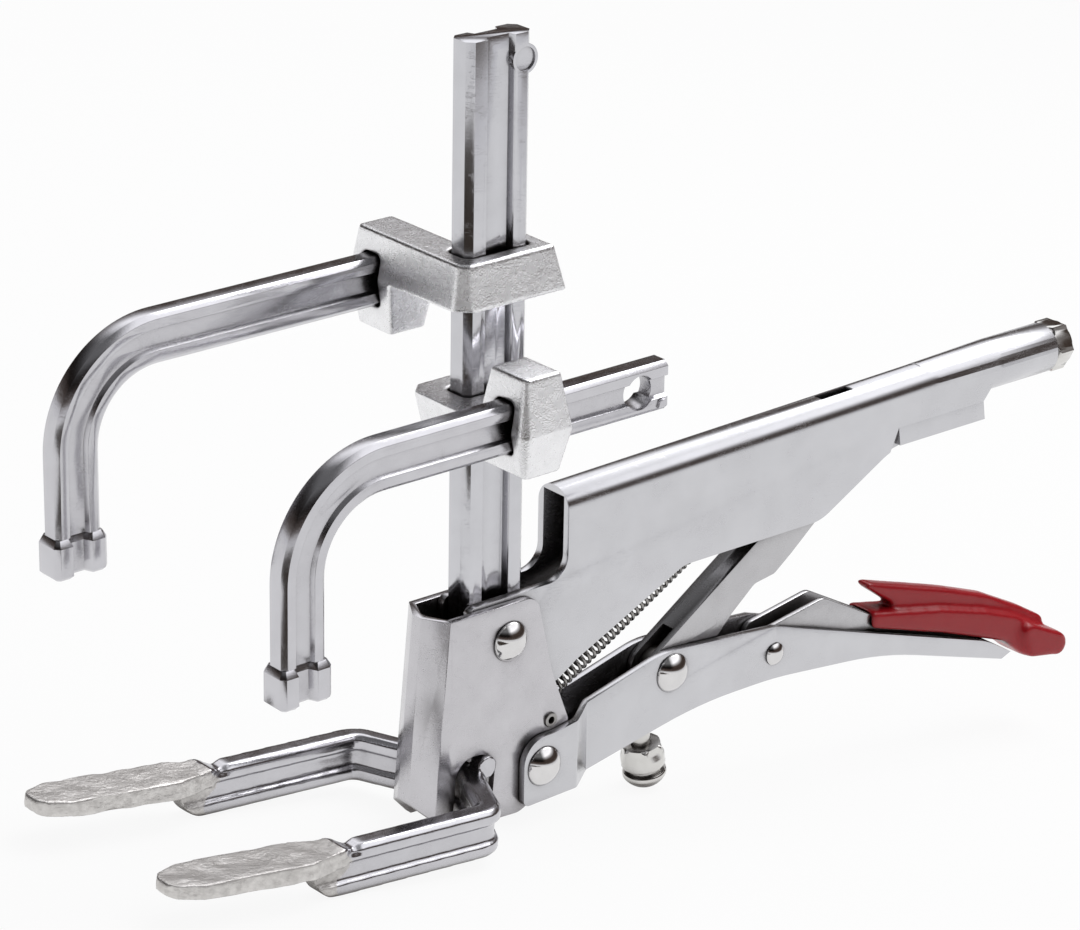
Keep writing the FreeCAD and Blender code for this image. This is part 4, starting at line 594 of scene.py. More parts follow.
@dataclass
class Workshop:
    """What every sub-assembly needs to make its pieces.

    Attributes:
        nodes: The CAD nodes by name.
        tool: The tool's own frame.
        shop: The material shop.
        weld: Points closer than this many metres become one.
        flatness: Facets that meet at less than this many degrees become one face.
        shortest_fold: Shorter edges than this many millimetres aren't folds.
        least_fold: Shallower edges than this many degrees aren't folds.
        pieces: The pieces made so far, by name.
    """

    nodes: dict[str, bpy.types.Object]
    tool: ToolFrame
    shop: MaterialShop
    weld: float = 2e-6
    flatness: float = 0.7
    shortest_fold: float = 5.0
    least_fold: float = 5.0
    pieces: dict[str, bpy.types.Object] = field(default_factory=dict)

    def extent(self, node: str) -> tuple[Vector, Vector]:
        """The lowest and highest corner of a CAD node, in metres."""
        spots = [vertex.co for vertex in self.nodes[node].data.vertices]
        low = Vector([min(spot[axis] for spot in spots) for axis in range(3)])
        high = Vector([max(spot[axis] for spot in spots) for axis in range(3)])
        return low, high

    def plain_copy(self, node: str, name: str) -> bpy.types.Object:
        """A merged copy of a CAD node's mesh, its flat faces made whole.

        Args:
            node: The CAD node.
            name: The new piece's name.

        Returns:
            The new object, at the origin.
        """
        mesh = self.nodes[node].data.copy()
        mesh.name = name
        with editing(mesh) as work:
            bmesh.ops.remove_doubles(work, verts=work.verts, dist=self.weld)
            bmesh.ops.dissolve_limit(work, angle_limit=math.radians(self.flatness), verts=work.verts,
                                     edges=work.edges, delimit={"NORMAL"})
        return add_object(name, mesh)

    @staticmethod
    def apply(piece: bpy.types.Object) -> None:
        """Turns a piece's modifiers into its mesh."""
        graph = bpy.context.evaluated_depsgraph_get()
        mesh = bpy.data.meshes.new_from_object(piece.evaluated_get(graph))
        piece.modifiers.clear()
        piece.data = mesh

    def round_edges(self, piece: bpy.types.Object, width: float, segments: int = 2,
                    angle: float = 28.0) -> None:
        """Rounds a piece's sharp edges.

        Args:
            piece: The piece.
            width: Width of the rounding in millimetres.
            segments: Number of segments across the rounding.
            angle: Edges sharper than this many degrees are rounded.
        """
        bevel = piece.modifiers.new("edges", "BEVEL")
        bevel.width = width * MM
        bevel.segments = segments
        bevel.limit_method = "ANGLE"
        bevel.angle_limit = math.radians(angle)
        self.apply(piece)

    def soften_folds(self, piece: bpy.types.Object, width: float, steep: float = 50.0) -> None:
        """Gives the shallow folds of side plates the wide radius of pressed sheet.

        Args:
            piece: The piece.
            width: Width of the radius in millimetres.
            steep: Folds sharper than this many degrees are left.
        """
        with editing(piece.data) as work:
            folds = [edge for edge in work.edges if self.is_fold(edge, steep)]
            if folds:
                bmesh.ops.bevel(work, geom=folds, offset=width * MM, segments=4, profile=0.5,
                                affect="EDGES", clamp_overlap=True)
        LOG.info("%s has %d soft folds", piece.name, len(folds))

    def is_fold(self, edge: bmesh.types.BMEdge, steep: float) -> bool:
        """Tells whether an edge is a shallow fold between two faces that look sideways."""
        if len(edge.link_faces) != 2 or edge.calc_length() < self.shortest_fold * MM:
            return False
        along = (edge.verts[1].co - edge.verts[0].co).normalized()
        outward = all(abs(face.normal.y) > 0.7 for face in edge.link_faces)
        shallow = self.least_fold < math.degrees(edge.calc_face_angle(0.0)) < steep
        return outward and abs(along.y) < 0.3 and shallow

    @staticmethod
    def shade(piece: bpy.types.Object, angle: float = 35.0) -> None:
        """Smooth shading, with edges sharper than the angle kept sharp."""
        piece.data.shade_smooth()
        limit = math.radians(angle)
        with editing(piece.data) as work:
            for edge in work.edges:
                edge.smooth = len(edge.link_faces) == 2 and edge.calc_face_angle(0.0) < limit

    def paint(self, piece: bpy.types.Object, *finishes: Finish) -> None:
        """Gives a piece its materials, the main one first."""
        piece.data.materials.clear()
        for finish in finishes:
            piece.data.materials.append(self.shop.get(finish))

    @staticmethod
    def new_piece(name: str, work: bmesh.types.BMesh) -> bpy.types.Object:
        """Makes an object at the origin of a finished bmesh."""
        bmesh.ops.recalc_face_normals(work, faces=work.faces)
        mesh = bpy.data.meshes.new(name)
        work.to_mesh(mesh)
        work.free()
        return add_object(name, mesh)

    def turned(self, name: str, stations: Sequence[Station], place: Matrix,
               sides: int = 96) -> bpy.types.Object:
        """A turned piece, some stretches of which may be hexagonal with turned corners.

        Args:
            name: The piece's name.
            stations: Its outline from one end to the other; the ends lie on the axis.
            place: Takes millimetres along the piece's own Z to metres of the row frame.
            sides: Number of steps round the axis.

        Returns:
            The new object.
        """
        work = bmesh.new()
        rings = []
        for station in stations:
            if station.radius == 0.0:
                rings.append([work.verts.new(place @ Vector((0.0, 0.0, station.height)))])
            else:
                rings.append([work.verts.new(place @ station.spot(turn)) for turn in around(sides)])
        for low, high in zip(rings, rings[1:]):
            for step in range(sides):
                after = step + 1
                corners = (low[step % len(low)], low[after % len(low)],
                           high[after % len(high)], high[step % len(high)])
                work.faces.new(list(dict.fromkeys(corners)))
        piece = self.new_piece(name, work)
        self.shade(piece, 40.0)
        return piece

    def remesh(self, piece: bpy.types.Object, voxel: float, passes: int) -> None:
        """Gives a piece an even skin of small faces.

        Args:
            piece: The piece.
            voxel: Size of the faces in millimetres.
            passes: Number of smoothing passes.
        """
        skin = piece.modifiers.new("skin", "REMESH")
        skin.mode = "VOXEL"
        skin.voxel_size = voxel * MM
        relax = piece.modifiers.new("relax", "SMOOTH")
        relax.factor = 0.5
        relax.iterations = passes
        self.apply(piece)
        piece.data.shade_smooth()

    @staticmethod
    def dent(piece: bpy.types.Object, depth: Callable[[Vector], float]) -> None:
        """Presses a piece's skin inwards.

        Args:
            piece: The piece, with small faces.
            depth: Gives the depth in millimetres at a point in millimetres of the row frame.
        """
        mesh = piece.data
        normals = [Vector(item.vector) for item in mesh.vertex_normals]
        for vertex, normal in zip(mesh.vertices, normals):
            vertex.co -= normal * depth(vertex.co / MM) * MM
        mesh.update()

    def mount(self, piece: bpy.types.Object, body: Body, replaced: Sequence[str], slot: str) -> None:
        """Lets a piece ride on its body, and stand for CAD nodes.

        Args:
            piece: The finished piece.
            body: The body it moves with.
            replaced: CAD nodes that it stands for.
            slot: The record's material slot; not used.
        """
        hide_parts(*replaced)
        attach(piece, body.value)
        self.pieces[piece.name] = piece
        LOG.info("%s on %s, %d faces", piece.name, body.value, len(piece.data.polygons))


@dataclass(frozen=True)
class Dress:
    """How a CAD node is dressed that keeps its form.

    Attributes:
        node: The CAD node.
        body: Its body.
        finish: The finish.
        slot: The record's material slot.
        edge: Width of the edge rounding in millimetres.
        fold: Width of the radius of shallow folds in millimetres, 0 to leave them.
    """

    node: str
    body: Body
    finish: Finish = Finish.PLAIN
    slot: str = "pin_steel"
    edge: float = 0.1
    fold: float = 0.0

    def build(self, bench: Workshop) -> None:
        """Makes a copy of the node with rounded edges and a finish, in place of the node."""
        piece = bench.plain_copy(self.node, self.node + "_dressed")
        if self.fold:
            bench.soften_folds(piece, self.fold)
        bench.round_edges(piece, self.edge)
        bench.shade(piece)
        bench.paint(piece, self.finish)
        bench.mount(piece, self.body, [self.node], self.slot)


# Sub-assemblies


@dataclass
class RivetSet:
    """The domed rivets of every joint, all sizes in millimetres.

    Attributes:
        bench: The workshop.
        large: Radius of the heads, height of the heads and radius of the shank of the main rivets.
        small: The same of the release rivet.
        rim: Height of the upright rim of a head.
    """

    bench: Workshop
    large: tuple[float, float, float] = (6.0, 3.4, 4.0)
    small: tuple[float, float, float] = (3.5, 1.8, 2.2)
    rim: float = 0.25

    def build(self) -> None:
        """Makes every rivet in place of its node."""
        for node, body, sizes in (
                ("main_rivet", Body.FRAME, self.large), ("handle_rivet", Body.JAW, self.large),
                ("link_rivet", Body.LEVER, self.large), ("release_rivet", Body.LEVER, self.small)):
            self.one(node, body, *sizes)

    def one(self, node: str, body: Body, head: float, rise: float, shank: float) -> None:
        """Makes one rivet along the tool's width.

        Args:
            node: The CAD node.
            body: Its body.
            head: Radius of its heads.
            rise: Height of its heads.
            shank: Radius of its shank.
        """
        low, high = self.bench.extent(node)
        half = (high.y - low.y) / MM / 2.0 - rise
        place = (Matrix.Translation((low + high) / 2.0) @ Matrix.Rotation(-math.pi / 2.0, 4, "X")
                 @ Matrix.Scale(MM, 4))
        dome = rise - self.rim
        upper = [Station(head, half)] + cap(head, dome, half + self.rim)
        lower = cap(head, -dome, -half - self.rim)[::-1] + [Station(head, -half)]
        stations = lower + [Station(shank, -half), Station(shank, half)] + upper
        piece = self.bench.turned(node + "_turned", stations, place)
        self.bench.paint(piece, Finish.RIVET)
        self.bench.mount(piece, body, [node], "rivet_polish")


@dataclass
class ScrewSet:
    """The adjusting screw and the knob under the lower handle, all sizes in millimetres.

    Attributes:
        bench: The workshop.
        knob: Middle of the knob's shank where it enters the handle, in metres.
        lean: The knob's own axis.
        head: Rear end of the adjusting screw: behind the rail's middle and above the main pivot.
        flat: Half the width across the adjusting screw's flats.
        shank: Radius of its shank over the thread.
        root: Radius at the bottom of the thread.
        thread: Start of the thread, half its pitch and its number of half turns.
        knob_wide: Radius over the knob's corners.
    """

    bench: Workshop
    knob: Vector
    lean: Vector
    head: tuple[float, float] = (-229.5, 35.5)
    flat: float = 7.1
    shank: float = 4.3
    root: float = 3.85
    thread: tuple[float, float, int] = (9.0, 0.75, 78)
    knob_wide: float = 6.6

    def adjuster(self) -> None:
        """The screw in the tube, with a hexagon that has turned corners."""
        tool = self.bench.tool
        turn = Matrix.Rotation(math.pi / 6.0, 4, "Z")
        place = (Matrix.Translation(tool.point(self.head[0], 0.0, self.head[1]))
                 @ turn_to(-tool.upward, SIDEWAYS, tool.forward) @ turn @ Matrix.Scale(MM, 4))
        flat, wide, shank = self.flat, self.flat / math.cos(math.pi / 6.0), self.shank
        start, half_pitch, half_turns = self.thread
        stations = [
            Station(0.0, 0.25), Station(3.4, 0.25), Station(4.2, 0.0), Station(6.4, 0.0, flat),
            Station(7.0, 0.25, flat), Station(wide, 0.85, flat), Station(wide, 6.2, flat),
            Station(7.2, 6.75, flat), Station(6.6, 7.0), Station(shank, 7.0),
        ]
        stations += [Station(shank if step % 2 else self.root, start + half_pitch * step)
                     for step in range(half_turns)]
        stations += [Station(3.6, 69.1), Station(2.8, 69.5), Station(0.0, 69.5)]
        piece = self.bench.turned("adjusting_screw_turned", stations, place)
        self.bench.paint(piece, Finish.SCREW)
        self.bench.mount(piece, Body.ADJUSTER, ["adjusting_screw"], "screw_plated")

    def stopper(self) -> None:
        """The knob: shank, hexagonal body with turned corners, groove and domed cap."""
        place = (Matrix.Translation(self.knob) @ turn_to(SIDEWAYS.cross(self.lean), SIDEWAYS, self.lean)
                 @ Matrix.Scale(MM, 4))
        wide = self.knob_wide
        flat = wide * math.cos(math.pi / 6.0)
        stations = [
            Station(0.0, 5.0), Station(2.6, 5.0), Station(3.0, 4.6), Station(3.0, -8.2),
            Station(5.2, -8.2, flat), Station(5.8, -8.45, flat), Station(wide, -9.1, flat),
            Station(wide, -11.0, flat), Station(wide, -12.2), Station(wide, -15.0),
            Station(wide - 0.2, -15.4), Station(5.3, -15.4), Station(5.3, -17.4),
            Station(wide - 0.25, -17.4), Station(wide, -17.7), Station(wide, -18.6),
        ] + cap(wide - 0.05, -4.0, -18.8)
        piece = self.bench.turned("stop_screw_turned", stations, place)
        self.bench.paint(piece, Finish.SCREW)
        self.bench.mount(piece, Body.STOPPER, ["stop_screw"], "screw_plated")


@dataclass
class ReturnSpring:
    """The extension spring between the jaw and the upper handle, all sizes in millimetres.

    Attributes:
        bench: The workshop.
        pin: Middle of the jaw's spring pin, ahead of the rail's middle and above the main pivot.
        anchor: Middle of the anchor in the upper handle.
        radius: Radius of the coil to the middle of its wire.
        wire: Radius of the wire.
        sides: Number of sides of the wire's section.
        turns: Number of turns.
        steps: Number of steps in a turn.
        hook: Distance from a pin's middle to the first turn.
        hook_from: Where a hook starts round its pin, in degrees.
        hook_turn: How far it goes round, in degrees.
        hook_steps: Number of steps of that turn.
        pin_radius: Radius of both pins.
        slack: Play of a hook round its pin.
    """

    bench: Workshop
    pin: tuple[float, float] = (-17.24, -28.84)
    anchor: tuple[float, float] = (-92.0, 13.0)
    radius: float = 2.55
    wire: float = 0.52
    sides: int = 10
    turns: int = 38
    steps: int = 24
    hook: float = 3.6
    hook_from: float = 60.0
    hook_turn: float = 190.0
    hook_steps: int = 14
    pin_radius: float = 2.1
    slack: float = 0.05

    def coil_tree(self) -> bpy.types.NodeTree:
        """The Geometry Nodes tree that winds the coil along Z, in metres."""
        tree = bpy.data.node_groups.new("coil_winding", "GeometryNodeTree")
        for name, kind in (("Turns", "Float"), ("Coil Radius", "Float"), ("Length", "Float"),
                           ("Wire Radius", "Float"), ("Steps", "Int"), ("Metal", "Material")):
            tree.interface.new_socket(name=name, in_out="INPUT", socket_type=f"NodeSocket{kind}")
        tree.interface.new_socket(name="Geometry", in_out="OUTPUT", socket_type="NodeSocketGeometry")
        canvas = NodeCanvas(tree)
        given, out = canvas.add("NodeGroupInput").outputs, canvas.add("NodeGroupOutput")
        spiral = canvas.add("GeometryNodeCurveSpiral", {
            "Resolution": given["Steps"], "Rotations": given["Turns"], "Height": given["Length"],
            "Start Radius": given["Coil Radius"], "End Radius": given["Coil Radius"]})
        section = canvas.add("GeometryNodeCurvePrimitiveCircle", {
            "Resolution": self.sides, "Radius": given["Wire Radius"]})
        sweep = canvas.add("GeometryNodeCurveToMesh", {
            "Curve": spiral.outputs["Curve"], "Profile Curve": section.outputs["Curve"], "Fill Caps": True})
        real = canvas.add("GeometryNodeRealizeInstances", {"Geometry": sweep.outputs["Mesh"]})
        metal = canvas.add("GeometryNodeSetMaterial", {
            "Geometry": real.outputs["Geometry"], "Material": given["Metal"]})
        canvas.feed(out, {"Geometry": metal.outputs["Geometry"]})
        return tree

    def wind(self, length: float) -> bpy.types.Mesh:
        """Winds the coil and hands back its mesh, along Z from the origin, in metres.

        Args:
            length: Length of the coil in millimetres.

        Returns:
            The coil's mesh.
        """
        carrier = add_object("coil_carrier", bpy.data.meshes.new("coil_carrier"))
        tree = self.coil_tree()
        modifier = carrier.modifiers.new("coil", "NODES")
        modifier.node_group = tree
        values = {"Turns": float(self.turns), "Coil Radius": self.radius * MM, "Length": length * MM,
                  "Wire Radius": self.wire * MM, "Steps": self.steps,
                  "Metal": self.bench.shop.get(Finish.SPRING)}
        for item in tree.interface.items_tree:
            if item.in_out == "INPUT":
                modifier[item.identifier] = values[item.name]
        graph = bpy.context.evaluated_depsgraph_get()
        mesh = bpy.data.meshes.new_from_object(carrier.evaluated_get(graph))
        bpy.data.objects.remove(carrier)
        return mesh

    def sweep_wire(self, work: bmesh.types.BMesh, path: Sequence[Vector]) -> None:
        """Sweeps the wire along a path of points in metres into a bmesh."""
        rings = []
        for index, spot in enumerate(path):
            ahead = (path[min(index + 1, len(path) - 1)] - path[max(index - 1, 0)]).normalized()
            side = ahead.cross(SIDEWAYS).normalized()
            third = ahead.cross(side)
            rings.append([
                work.verts.new(spot + (side * math.cos(turn) + third * math.sin(turn)) * self.wire * MM)
                for turn in around(self.sides)])
        for low, high in zip(rings, rings[1:]):
            for step in range(self.sides):
                after = (step + 1) % self.sides
                work.faces.new((low[step], low[after], high[after], high[step]))
        work.faces.new(rings[0][::-1])
        work.faces.new(rings[-1])

    def hook_path(self, centre: Vector, along: Vector) -> list[Vector]:
        """Points of one end hook: round the pin and back to the coil.

        Args:
            centre: Middle of the pin.
            along: Direction from this pin to the other one.

        Returns:
            The points, in metres.
        """
        aside = along.cross(SIDEWAYS)
        reach = self.pin_radius + self.wire + self.slack
        points = []
        for step in range(self.hook_steps, -1, -1):
            angle = math.radians(self.hook_from + self.hook_turn * step / self.hook_steps)
            points.append(centre + (along * math.cos(angle) + aside * math.sin(angle)) * reach * MM)
        for ahead, share in ((self.hook * 0.75, 0.98), (self.hook + 0.9, 1.0)):
            points.append(centre + (along * ahead + aside * self.radius * share) * MM)
        return points

    def build(self) -> None:
        """Makes the spring from the jaw's pin to the handle's anchor."""
        bench, tool = self.bench, self.bench.tool
        low = tool.point(self.pin[0], 0.0, self.pin[1])
        high = tool.point(self.anchor[0], 0.0, self.anchor[1])
        along = (high - low).normalized()
        mesh = self.wind((high - low).length / MM - 2.0 * self.hook)
        turn = along.to_track_quat("Z", "Y").to_matrix().to_4x4()
        mesh.transform(Matrix.Translation(low + along * self.hook * MM) @ turn)
        work = bmesh.new()
        work.from_mesh(mesh)
        self.sweep_wire(work, self.hook_path(low, along))
        self.sweep_wire(work, self.hook_path(high, -along))
        piece = bench.new_piece("tension_spring_wound", work)
        piece.data.shade_smooth()
        bench.paint(piece, Finish.SPRING)
        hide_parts("tension_spring")
        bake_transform(piece)
        bench.pieces[piece.name] = piece


@dataclass
class CastSlides:
    """The two cast slides with their blasted skin, all sizes in millimetres.

    Attributes:
        bench: The workshop.
        voxel: Size of the skin's faces.
        edge: Rounding of the cast edges.
        hollows: Depth and scale of the slow hollows.
        grain: Depth and scale of the fine grain.
    """

    bench: Workshop
    voxel: float = 0.5
    edge: float = 0.9
    hollows: tuple[float, float] = (0.10, 0.11)
    grain: tuple[float, float] = (0.05, 0.7)

    def build(self) -> None:
        """Makes both slides."""
        for node, body, seed in (
                ("upper_slide", Body.UPPER_SLIDER, 3.0), ("lower_slide", Body.LOWER_SLIDER, 11.0)):
            piece = self.bench.plain_copy(node, node + "_cast")
            self.bench.round_edges(piece, self.edge, 3)
            self.bench.remesh(piece, self.voxel, 2)
            self.bench.dent(piece, lambda spot, seed=seed: self.skin(spot, seed))
            self.bench.paint(piece, Finish.CAST)
            self.bench.mount(piece, body, [node], "cast_nickel")

    def skin(self, spot: Vector, seed: float) -> float:
        """Depth of the cast skin at a point."""
        return sum(depth * cloud(spot, scale, seed) for depth, scale in (self.hollows, self.grain))


@dataclass
class ForkWork:
    """The fork with its forged pads, all sizes in millimetres.

    Attributes:
        bench: The workshop.
        pad_from: Where the pads begin ahead of the row frame's origin.
        pad_top: Above this level a pad's face looks up.
        voxel: Size of the skin's faces.
        edge: Rounding of the edges.
        blend: Length over which the hammer marks set in.
        upsets: Depth, place past the start of the pads and width of the dip and the ridge across them.
    """

    bench: Workshop
    pad_from: float = 121.0
    pad_top: float = 12.0
    voxel: float = 0.55
    edge: float = 0.6
    blend: float = 6.0
    upsets: tuple[tuple[float, float, float], ...] = ((0.9, -2.0, 1.9), (-0.7, 3.0, 2.0))

    def build(self) -> None:
        """Makes the fork in two finishes."""
        piece = self.bench.plain_copy("fork", "fork_forged")
        self.bench.round_edges(piece, self.edge, 3)
        self.bench.remesh(piece, self.voxel, 2)
        self.bench.dent(piece, self.hammer)
        self.bench.paint(piece, Finish.ARM, Finish.FORGED)
        for face in piece.data.polygons:
            spot = face.center / MM
            edge = self.pad_from + 2.5 * math.sin(spot.z * 0.5) + 1.5 * cloud(spot, 0.5)
            face.material_index = 1 if spot.x > edge else 0
        self.bench.mount(piece, Body.JAW, ["fork"], "fork_steel")

    def hammer(self, spot: Vector) -> float:
        """Depth of the marks at a point: none on the bar, a dip and a ridge where the pads begin."""
        past = spot.x - self.pad_from
        share = min(max(past / self.blend, 0.0), 1.0)
        blows = max(cloud(Vector((spot.x, spot.y, spot.z * 0.3)), 0.16, 5.0) - 0.35, 0.0)
        folds = max(cloud(Vector((spot.x * 0.4, spot.y, spot.z)), 0.5, 9.0) - 0.5, 0.0)
        upset = 0.0
        if spot.z > self.pad_top:
            upset = sum(deep * math.exp(-(((past - place) / wide) ** 2)) for deep, place, wide in self.upsets)
        return 0.02 + upset + share * (0.8 * blows + 0.3 * folds + 0.04 * cloud(spot, 1.3, 2.0))


@dataclass
class HandleWork:
    """The folded upper handle with its soft folds and lips, all sizes in millimetres.

    Attributes:
        bench: The workshop.
        lip_back: From where to where the lips run behind the rail's middle.
        lip_low: Highest level above the main pivot of the lips' lower edge.
        pull: How far that edge is drawn in.
        fold: Width of the radius of the soft folds.
        edge: Rounding of the edges.
    """

    bench: Workshop
    lip_back: tuple[float, float] = (153.0, 193.0)
    lip_low: float = 22.0
    pull: float = 1.3
    fold: float = 2.5
    edge: float = 0.35

    def build(self) -> None:
        """Makes the handle."""
        piece = self.bench.plain_copy("upper_handle", "upper_handle_folded")
        inward = self.bench.tool.matrix().inverted()
        for vertex in piece.data.vertices:
            spot = inward @ vertex.co
            if self.lip_back[0] < -spot.x < self.lip_back[1] and spot.z < self.lip_low:
                vertex.co.y -= math.copysign(self.pull * MM, spot.y)
        self.bench.soften_folds(piece, self.fold)
        self.bench.round_edges(piece, self.edge)
        self.bench.shade(piece)
        self.bench.paint(piece, Finish.HANDLE)
        self.bench.mount(piece, Body.FRAME, ["upper_handle"], "handle_sheet")


@dataclass
class GripWork:
    """The dipped red grip with its soft edges, all sizes in millimetres.

    Attributes:
        bench: The workshop.
        voxel: Size of the skin's faces.
        edge: Rounding of the edges.
        passes: Number of smoothing passes.
        runs: Depth and scale of the thick and thin places of the dip.
    """

    bench: Workshop
    voxel: float = 0.5
    edge: float = 2.2
    passes: int = 60
    runs: tuple[float, float] = (0.12, 0.12)

    def build(self) -> None:
        """Makes the grip."""
        piece = self.bench.plain_copy("release_grip", "release_grip_dipped")
        self.bench.round_edges(piece, self.edge, 3)
        self.bench.remesh(piece, self.voxel, self.passes)
        self.bench.dent(piece, lambda spot: self.runs[0] * cloud(spot, self.runs[1], 4.0))
        self.bench.paint(piece, Finish.GRIP)
        self.bench.mount(piece, Body.RELEASE, ["release_grip"], "red_grip")


# The studio


@dataclass
class Studio:
    """Floor, lights and camera.

    Attributes:
        azimuth: Direction from the tool to the camera about the rail, in degrees from the tool's side.
        elevation: Height of the camera over the tool's own level, in degrees.
        roll: Roll of the camera, in degrees.
        focal: Focal length in pixels of the photograph.
        distance: Distance of the camera, in millimetres.
        aside: Shift of the camera in its own plane, in millimetres.
        centre: Height above the main pivot that the camera was measured from, in millimetres.
        photo_width: Width of the photograph in pixels.
        floor_half: Half the floor's side, in metres.
        floor_glow: How white the floor is to the camera and in reflections.
        room: Colours of the room at places from the nadir, 0, to the zenith, 1.
        overhead_from: Above this height of the direction the room is dimmed on one side.
        side_slope: How fast it is dimmed from one side to the other.
        side_middle: How bright it is in the middle.
        side_least: How bright it stays on the dim side.
        lamp: Where the overhead lamp hangs, in metres.
        lamp_aim: What it points at.
        lamp_size: Its side, in metres.
        lamp_power: Its power, in watts.
        flag: Corners of the dark card on the floor, in metres.
        flag_color: Its colour.
    """

    azimuth: float = 40.22
    elevation: float = 22.12
    roll: float = 1.03
    focal: float = 4284.97
    distance: float = 1177.08
    aside: tuple[float, float] = (14.34, -35.24)
    centre: float = 89.03
    photo_width: float = 1080.0
    floor_half: float = 9.0
    floor_glow: float = 0.92
    room: tuple = (
        (0.0, (0.80, 0.80, 0.80)), (0.535, (0.84, 0.84, 0.86)), (0.565, (0.12, 0.095, 0.083)),
        (0.62, (0.05, 0.037, 0.032)), (0.72, (0.07, 0.052, 0.044)), (0.78, (0.55, 0.54, 0.55)),
        (0.83, (1.5, 1.5, 1.53)), (1.0, (1.25, 1.25, 1.28)),
    )
    overhead_from: float = 0.3
    side_slope: float = -3.2
    side_middle: float = 0.62
    side_least: float = 0.12
    lamp: tuple[float, float, float] = (-0.75, -0.15, 1.35)
    lamp_aim: tuple[float, float, float] = (0.0, 0.0, 0.1)
    lamp_size: float = 0.9
    lamp_power: float = 9.0
    flag: tuple = ((0.16, 0.10, 0.002), (0.9, 0.25, 0.002), (1.6, 1.5, 0.002), (0.12, 0.42, 0.002))
    flag_color: tuple[float, float, float] = (0.05, 0.04, 0.033)

    def set_camera(self, tool: ToolFrame) -> None:
        """Places the camera where the photograph was taken from.

        Args:
            tool: The tool's own frame.
        """
        turn, rise, roll = (math.radians(value) for value in (self.azimuth, self.elevation, self.roll))
        back = Vector((math.sin(turn) * math.cos(rise), math.cos(turn) * math.cos(rise), math.sin(rise)))
        right = Vector((-math.cos(turn), math.sin(turn), 0.0))
        up = back.cross(right)
        across = right * math.cos(roll) + up * math.sin(roll)
        above = up * math.cos(roll) - right * math.sin(roll)
        spot = across * self.aside[0] + above * self.aside[1] + back * self.distance
        spot.z += self.centre
        data = bpy.data.cameras.new("camera")
        data.sensor_fit = "HORIZONTAL"
        data.lens = self.focal / self.photo_width * data.sensor_width
        data.clip_start = 0.05
        data.clip_end = 50.0
        camera = add_object("camera", data)
        axes = (tool.direction(*axis) for axis in (across, above, back))
        camera.matrix_world = Matrix.Translation(tool.point(*spot)) @ turn_to(*axes)
        bpy.context.scene.camera = camera

    @staticmethod
    def new_card(name: str, corners: Sequence[Sequence[float]]) -> tuple:
        """Makes a flat card with four corners.

        Args:
            name: The card's name.
            corners: Its corners in metres.

        Returns:
            The card, a canvas on its material and the material's shader.
        """
        mesh = bpy.data.meshes.new(name)
        mesh.from_pydata(corners, [], [(0, 1, 2, 3)])
        card = add_object(name, mesh)
        material, canvas, shader = new_material(name)
        mesh.materials.append(material)
        return card, canvas, shader

    def lay_floor(self) -> None:
        """A wide pale floor that reads as white and keeps a soft shadow."""
        half = self.floor_half
        floor, canvas, shader = self.new_card(
            "floor", [(-half, -half, 0.0), (half, -half, 0.0), (half, half, 0.0), (-half, half, 0.0)])
        canvas.feed(shader, {
            "Base Color": (0.9, 0.9, 0.9, 1.0), "Roughness": 0.9, "Specular IOR Level": 0.0})
        glow = canvas.add("ShaderNodeEmission", {"Strength": 1.0})
        path = canvas.add("ShaderNodeLightPath").outputs
        seen = canvas.math("MAXIMUM", path["Is Camera Ray"], path["Is Glossy Ray"])
        seen = canvas.math("MAXIMUM", seen, path["Is Transmission Ray"])
        mix = canvas.add("ShaderNodeMixShader", {
            0: canvas.math("MULTIPLY", seen, self.floor_glow), 1: shader.outputs[0], 2: glow.outputs[0]})
        canvas.feed(canvas.tree.nodes["Material Output"], {"Surface": mix.outputs[0]})

    def light_world(self) -> None:
        """A studio room that metal can mirror: pale low down, dark above it, bright overhead on one side."""
        world = bpy.data.worlds.new("studio")
        bpy.context.scene.world = world
        world.use_nodes = True
        canvas = NodeCanvas(world.node_tree)
        place = canvas.add("ShaderNodeTexCoord").outputs["Generated"]
        parts = canvas.add("ShaderNodeSeparateXYZ", {0: place}).outputs
        ramp = canvas.add("ShaderNodeValToRGB", {0: canvas.math("MULTIPLY_ADD", parts["Z"], 0.5, 0.5)})
        elements = ramp.color_ramp.elements
        for spot, color in self.room[1:-1]:
            elements.new(spot).color = opaque(color)
        elements[0].color = opaque(self.room[0][1])
        elements[-1].color = opaque(self.room[-1][1])
        side = canvas.math("MULTIPLY_ADD", parts["X"], self.side_slope, self.side_middle)
        side = canvas.math("MINIMUM", canvas.math("MAXIMUM", side, self.side_least), 1.0)
        above = canvas.math("GREATER_THAN", parts["Z"], self.overhead_from)
        color = canvas.mix(above, ramp.outputs[0], side, "MULTIPLY")
        canvas.feed(world.node_tree.nodes["Background"], {"Color": color, "Strength": 1.0})

    def lay_flag(self) -> None:
        """Lays a dark card that only reflections see, as a photographer sets beside shiny metal."""
        card, canvas, shader = self.new_card("flag_front", self.flag)
        canvas.tree.nodes.remove(shader)
        glow = canvas.add("ShaderNodeEmission", {"Color": opaque(self.flag_color)})
        canvas.feed(canvas.tree.nodes["Material Output"], {"Surface": glow.outputs[0]})
        card.visible_camera = False
        card.visible_diffuse = False
        card.visible_shadow = False

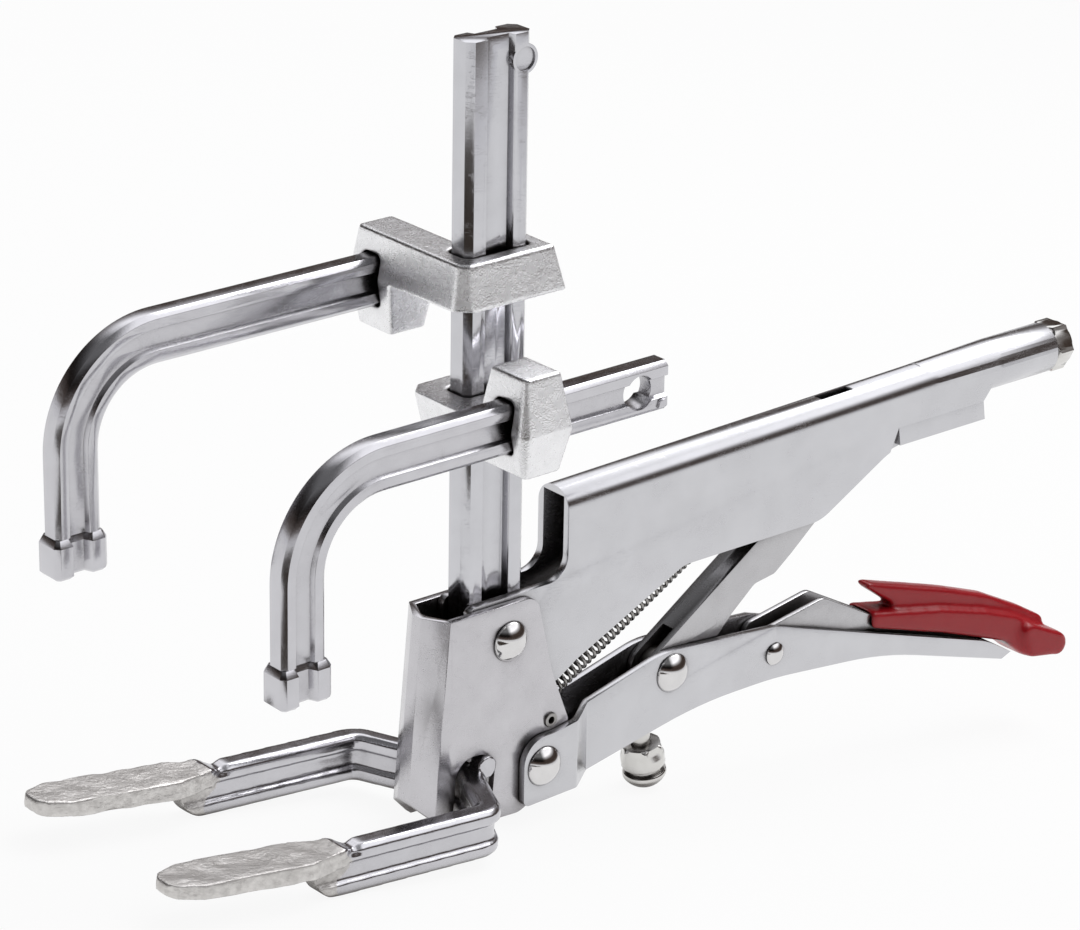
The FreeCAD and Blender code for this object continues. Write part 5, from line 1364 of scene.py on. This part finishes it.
    def hang_lamp(self) -> None:
        """Hangs the square soft lamp overhead."""
        data = bpy.data.lights.new("overhead", "AREA")
        data.size = self.lamp_size
        data.energy = self.lamp_power
        lamp = add_object("overhead", data)
        lamp.location = self.lamp
        aim = Vector(self.lamp_aim) - Vector(self.lamp)
        lamp.rotation_euler = aim.to_track_quat("-Z", "Y").to_euler()

    def build(self, tool: ToolFrame) -> None:
        """Sets up the whole studio.

        Args:
            tool: The tool's own frame.
        """
        self.set_camera(tool)
        self.lay_floor()
        self.light_world()
        self.hang_lamp()
        self.lay_flag()
        bpy.context.scene.view_settings.view_transform = "Standard"


PLAN = (
    Dress("rail", Body.FRAME, Finish.RAIL, "rail_steel", 0.35),
    Dress("rail_pin", Body.FRAME),
    Dress("screw_bush", Body.FRAME),
    Dress("spring_anchor", Body.FRAME),
    Dress("upper_arm", Body.UPPER_ARM, Finish.ARM, "arm_steel", 0.6),
    Dress("lower_arm", Body.LOWER_ARM, Finish.ARM, "arm_steel", 0.6),
    Dress("jaw_housing", Body.JAW, Finish.HOUSING, "housing_sheet", 0.35),
    Dress("spring_pin", Body.JAW),
    Dress("handle_bush", Body.JAW),
    Dress("lower_handle", Body.LEVER, Finish.HANDLE, "lever_sheet", 0.35, fold=2.0),
    Dress("toggle_link", Body.LINK, Finish.LINK, "link_sheet", 0.3),
    Dress("link_bush", Body.LINK),
    Dress("release_lever", Body.RELEASE, Finish.LINK, "link_sheet", 0.55),
)


def main() -> None:
    """Loads the frame, dresses every piece and sets up the studio."""
    logging.basicConfig(level=logging.INFO, format="%(name)s: %(message)s")
    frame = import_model()
    named = {joint["name"]: joint for joint in frame["joints"]}
    tool = ToolFrame.from_joints(named)
    bench = Workshop(frame["nodes"], tool, MaterialShop())
    for dress in PLAN:
        dress.build(bench)
    HandleWork(bench).build()
    RivetSet(bench).build()
    turning = named["stopper_turn"]
    screws = ScrewSet(bench, Vector(turning["pos_m"]), Vector(turning["axis"]).normalized())
    screws.adjuster()
    screws.stopper()
    ReturnSpring(bench).build()
    CastSlides(bench).build()
    ForkWork(bench).build()
    GripWork(bench).build()
    Studio().build(tool)
    LOG.info("%d pieces", len(bench.pieces))


if __name__ == "__main__":
    main()
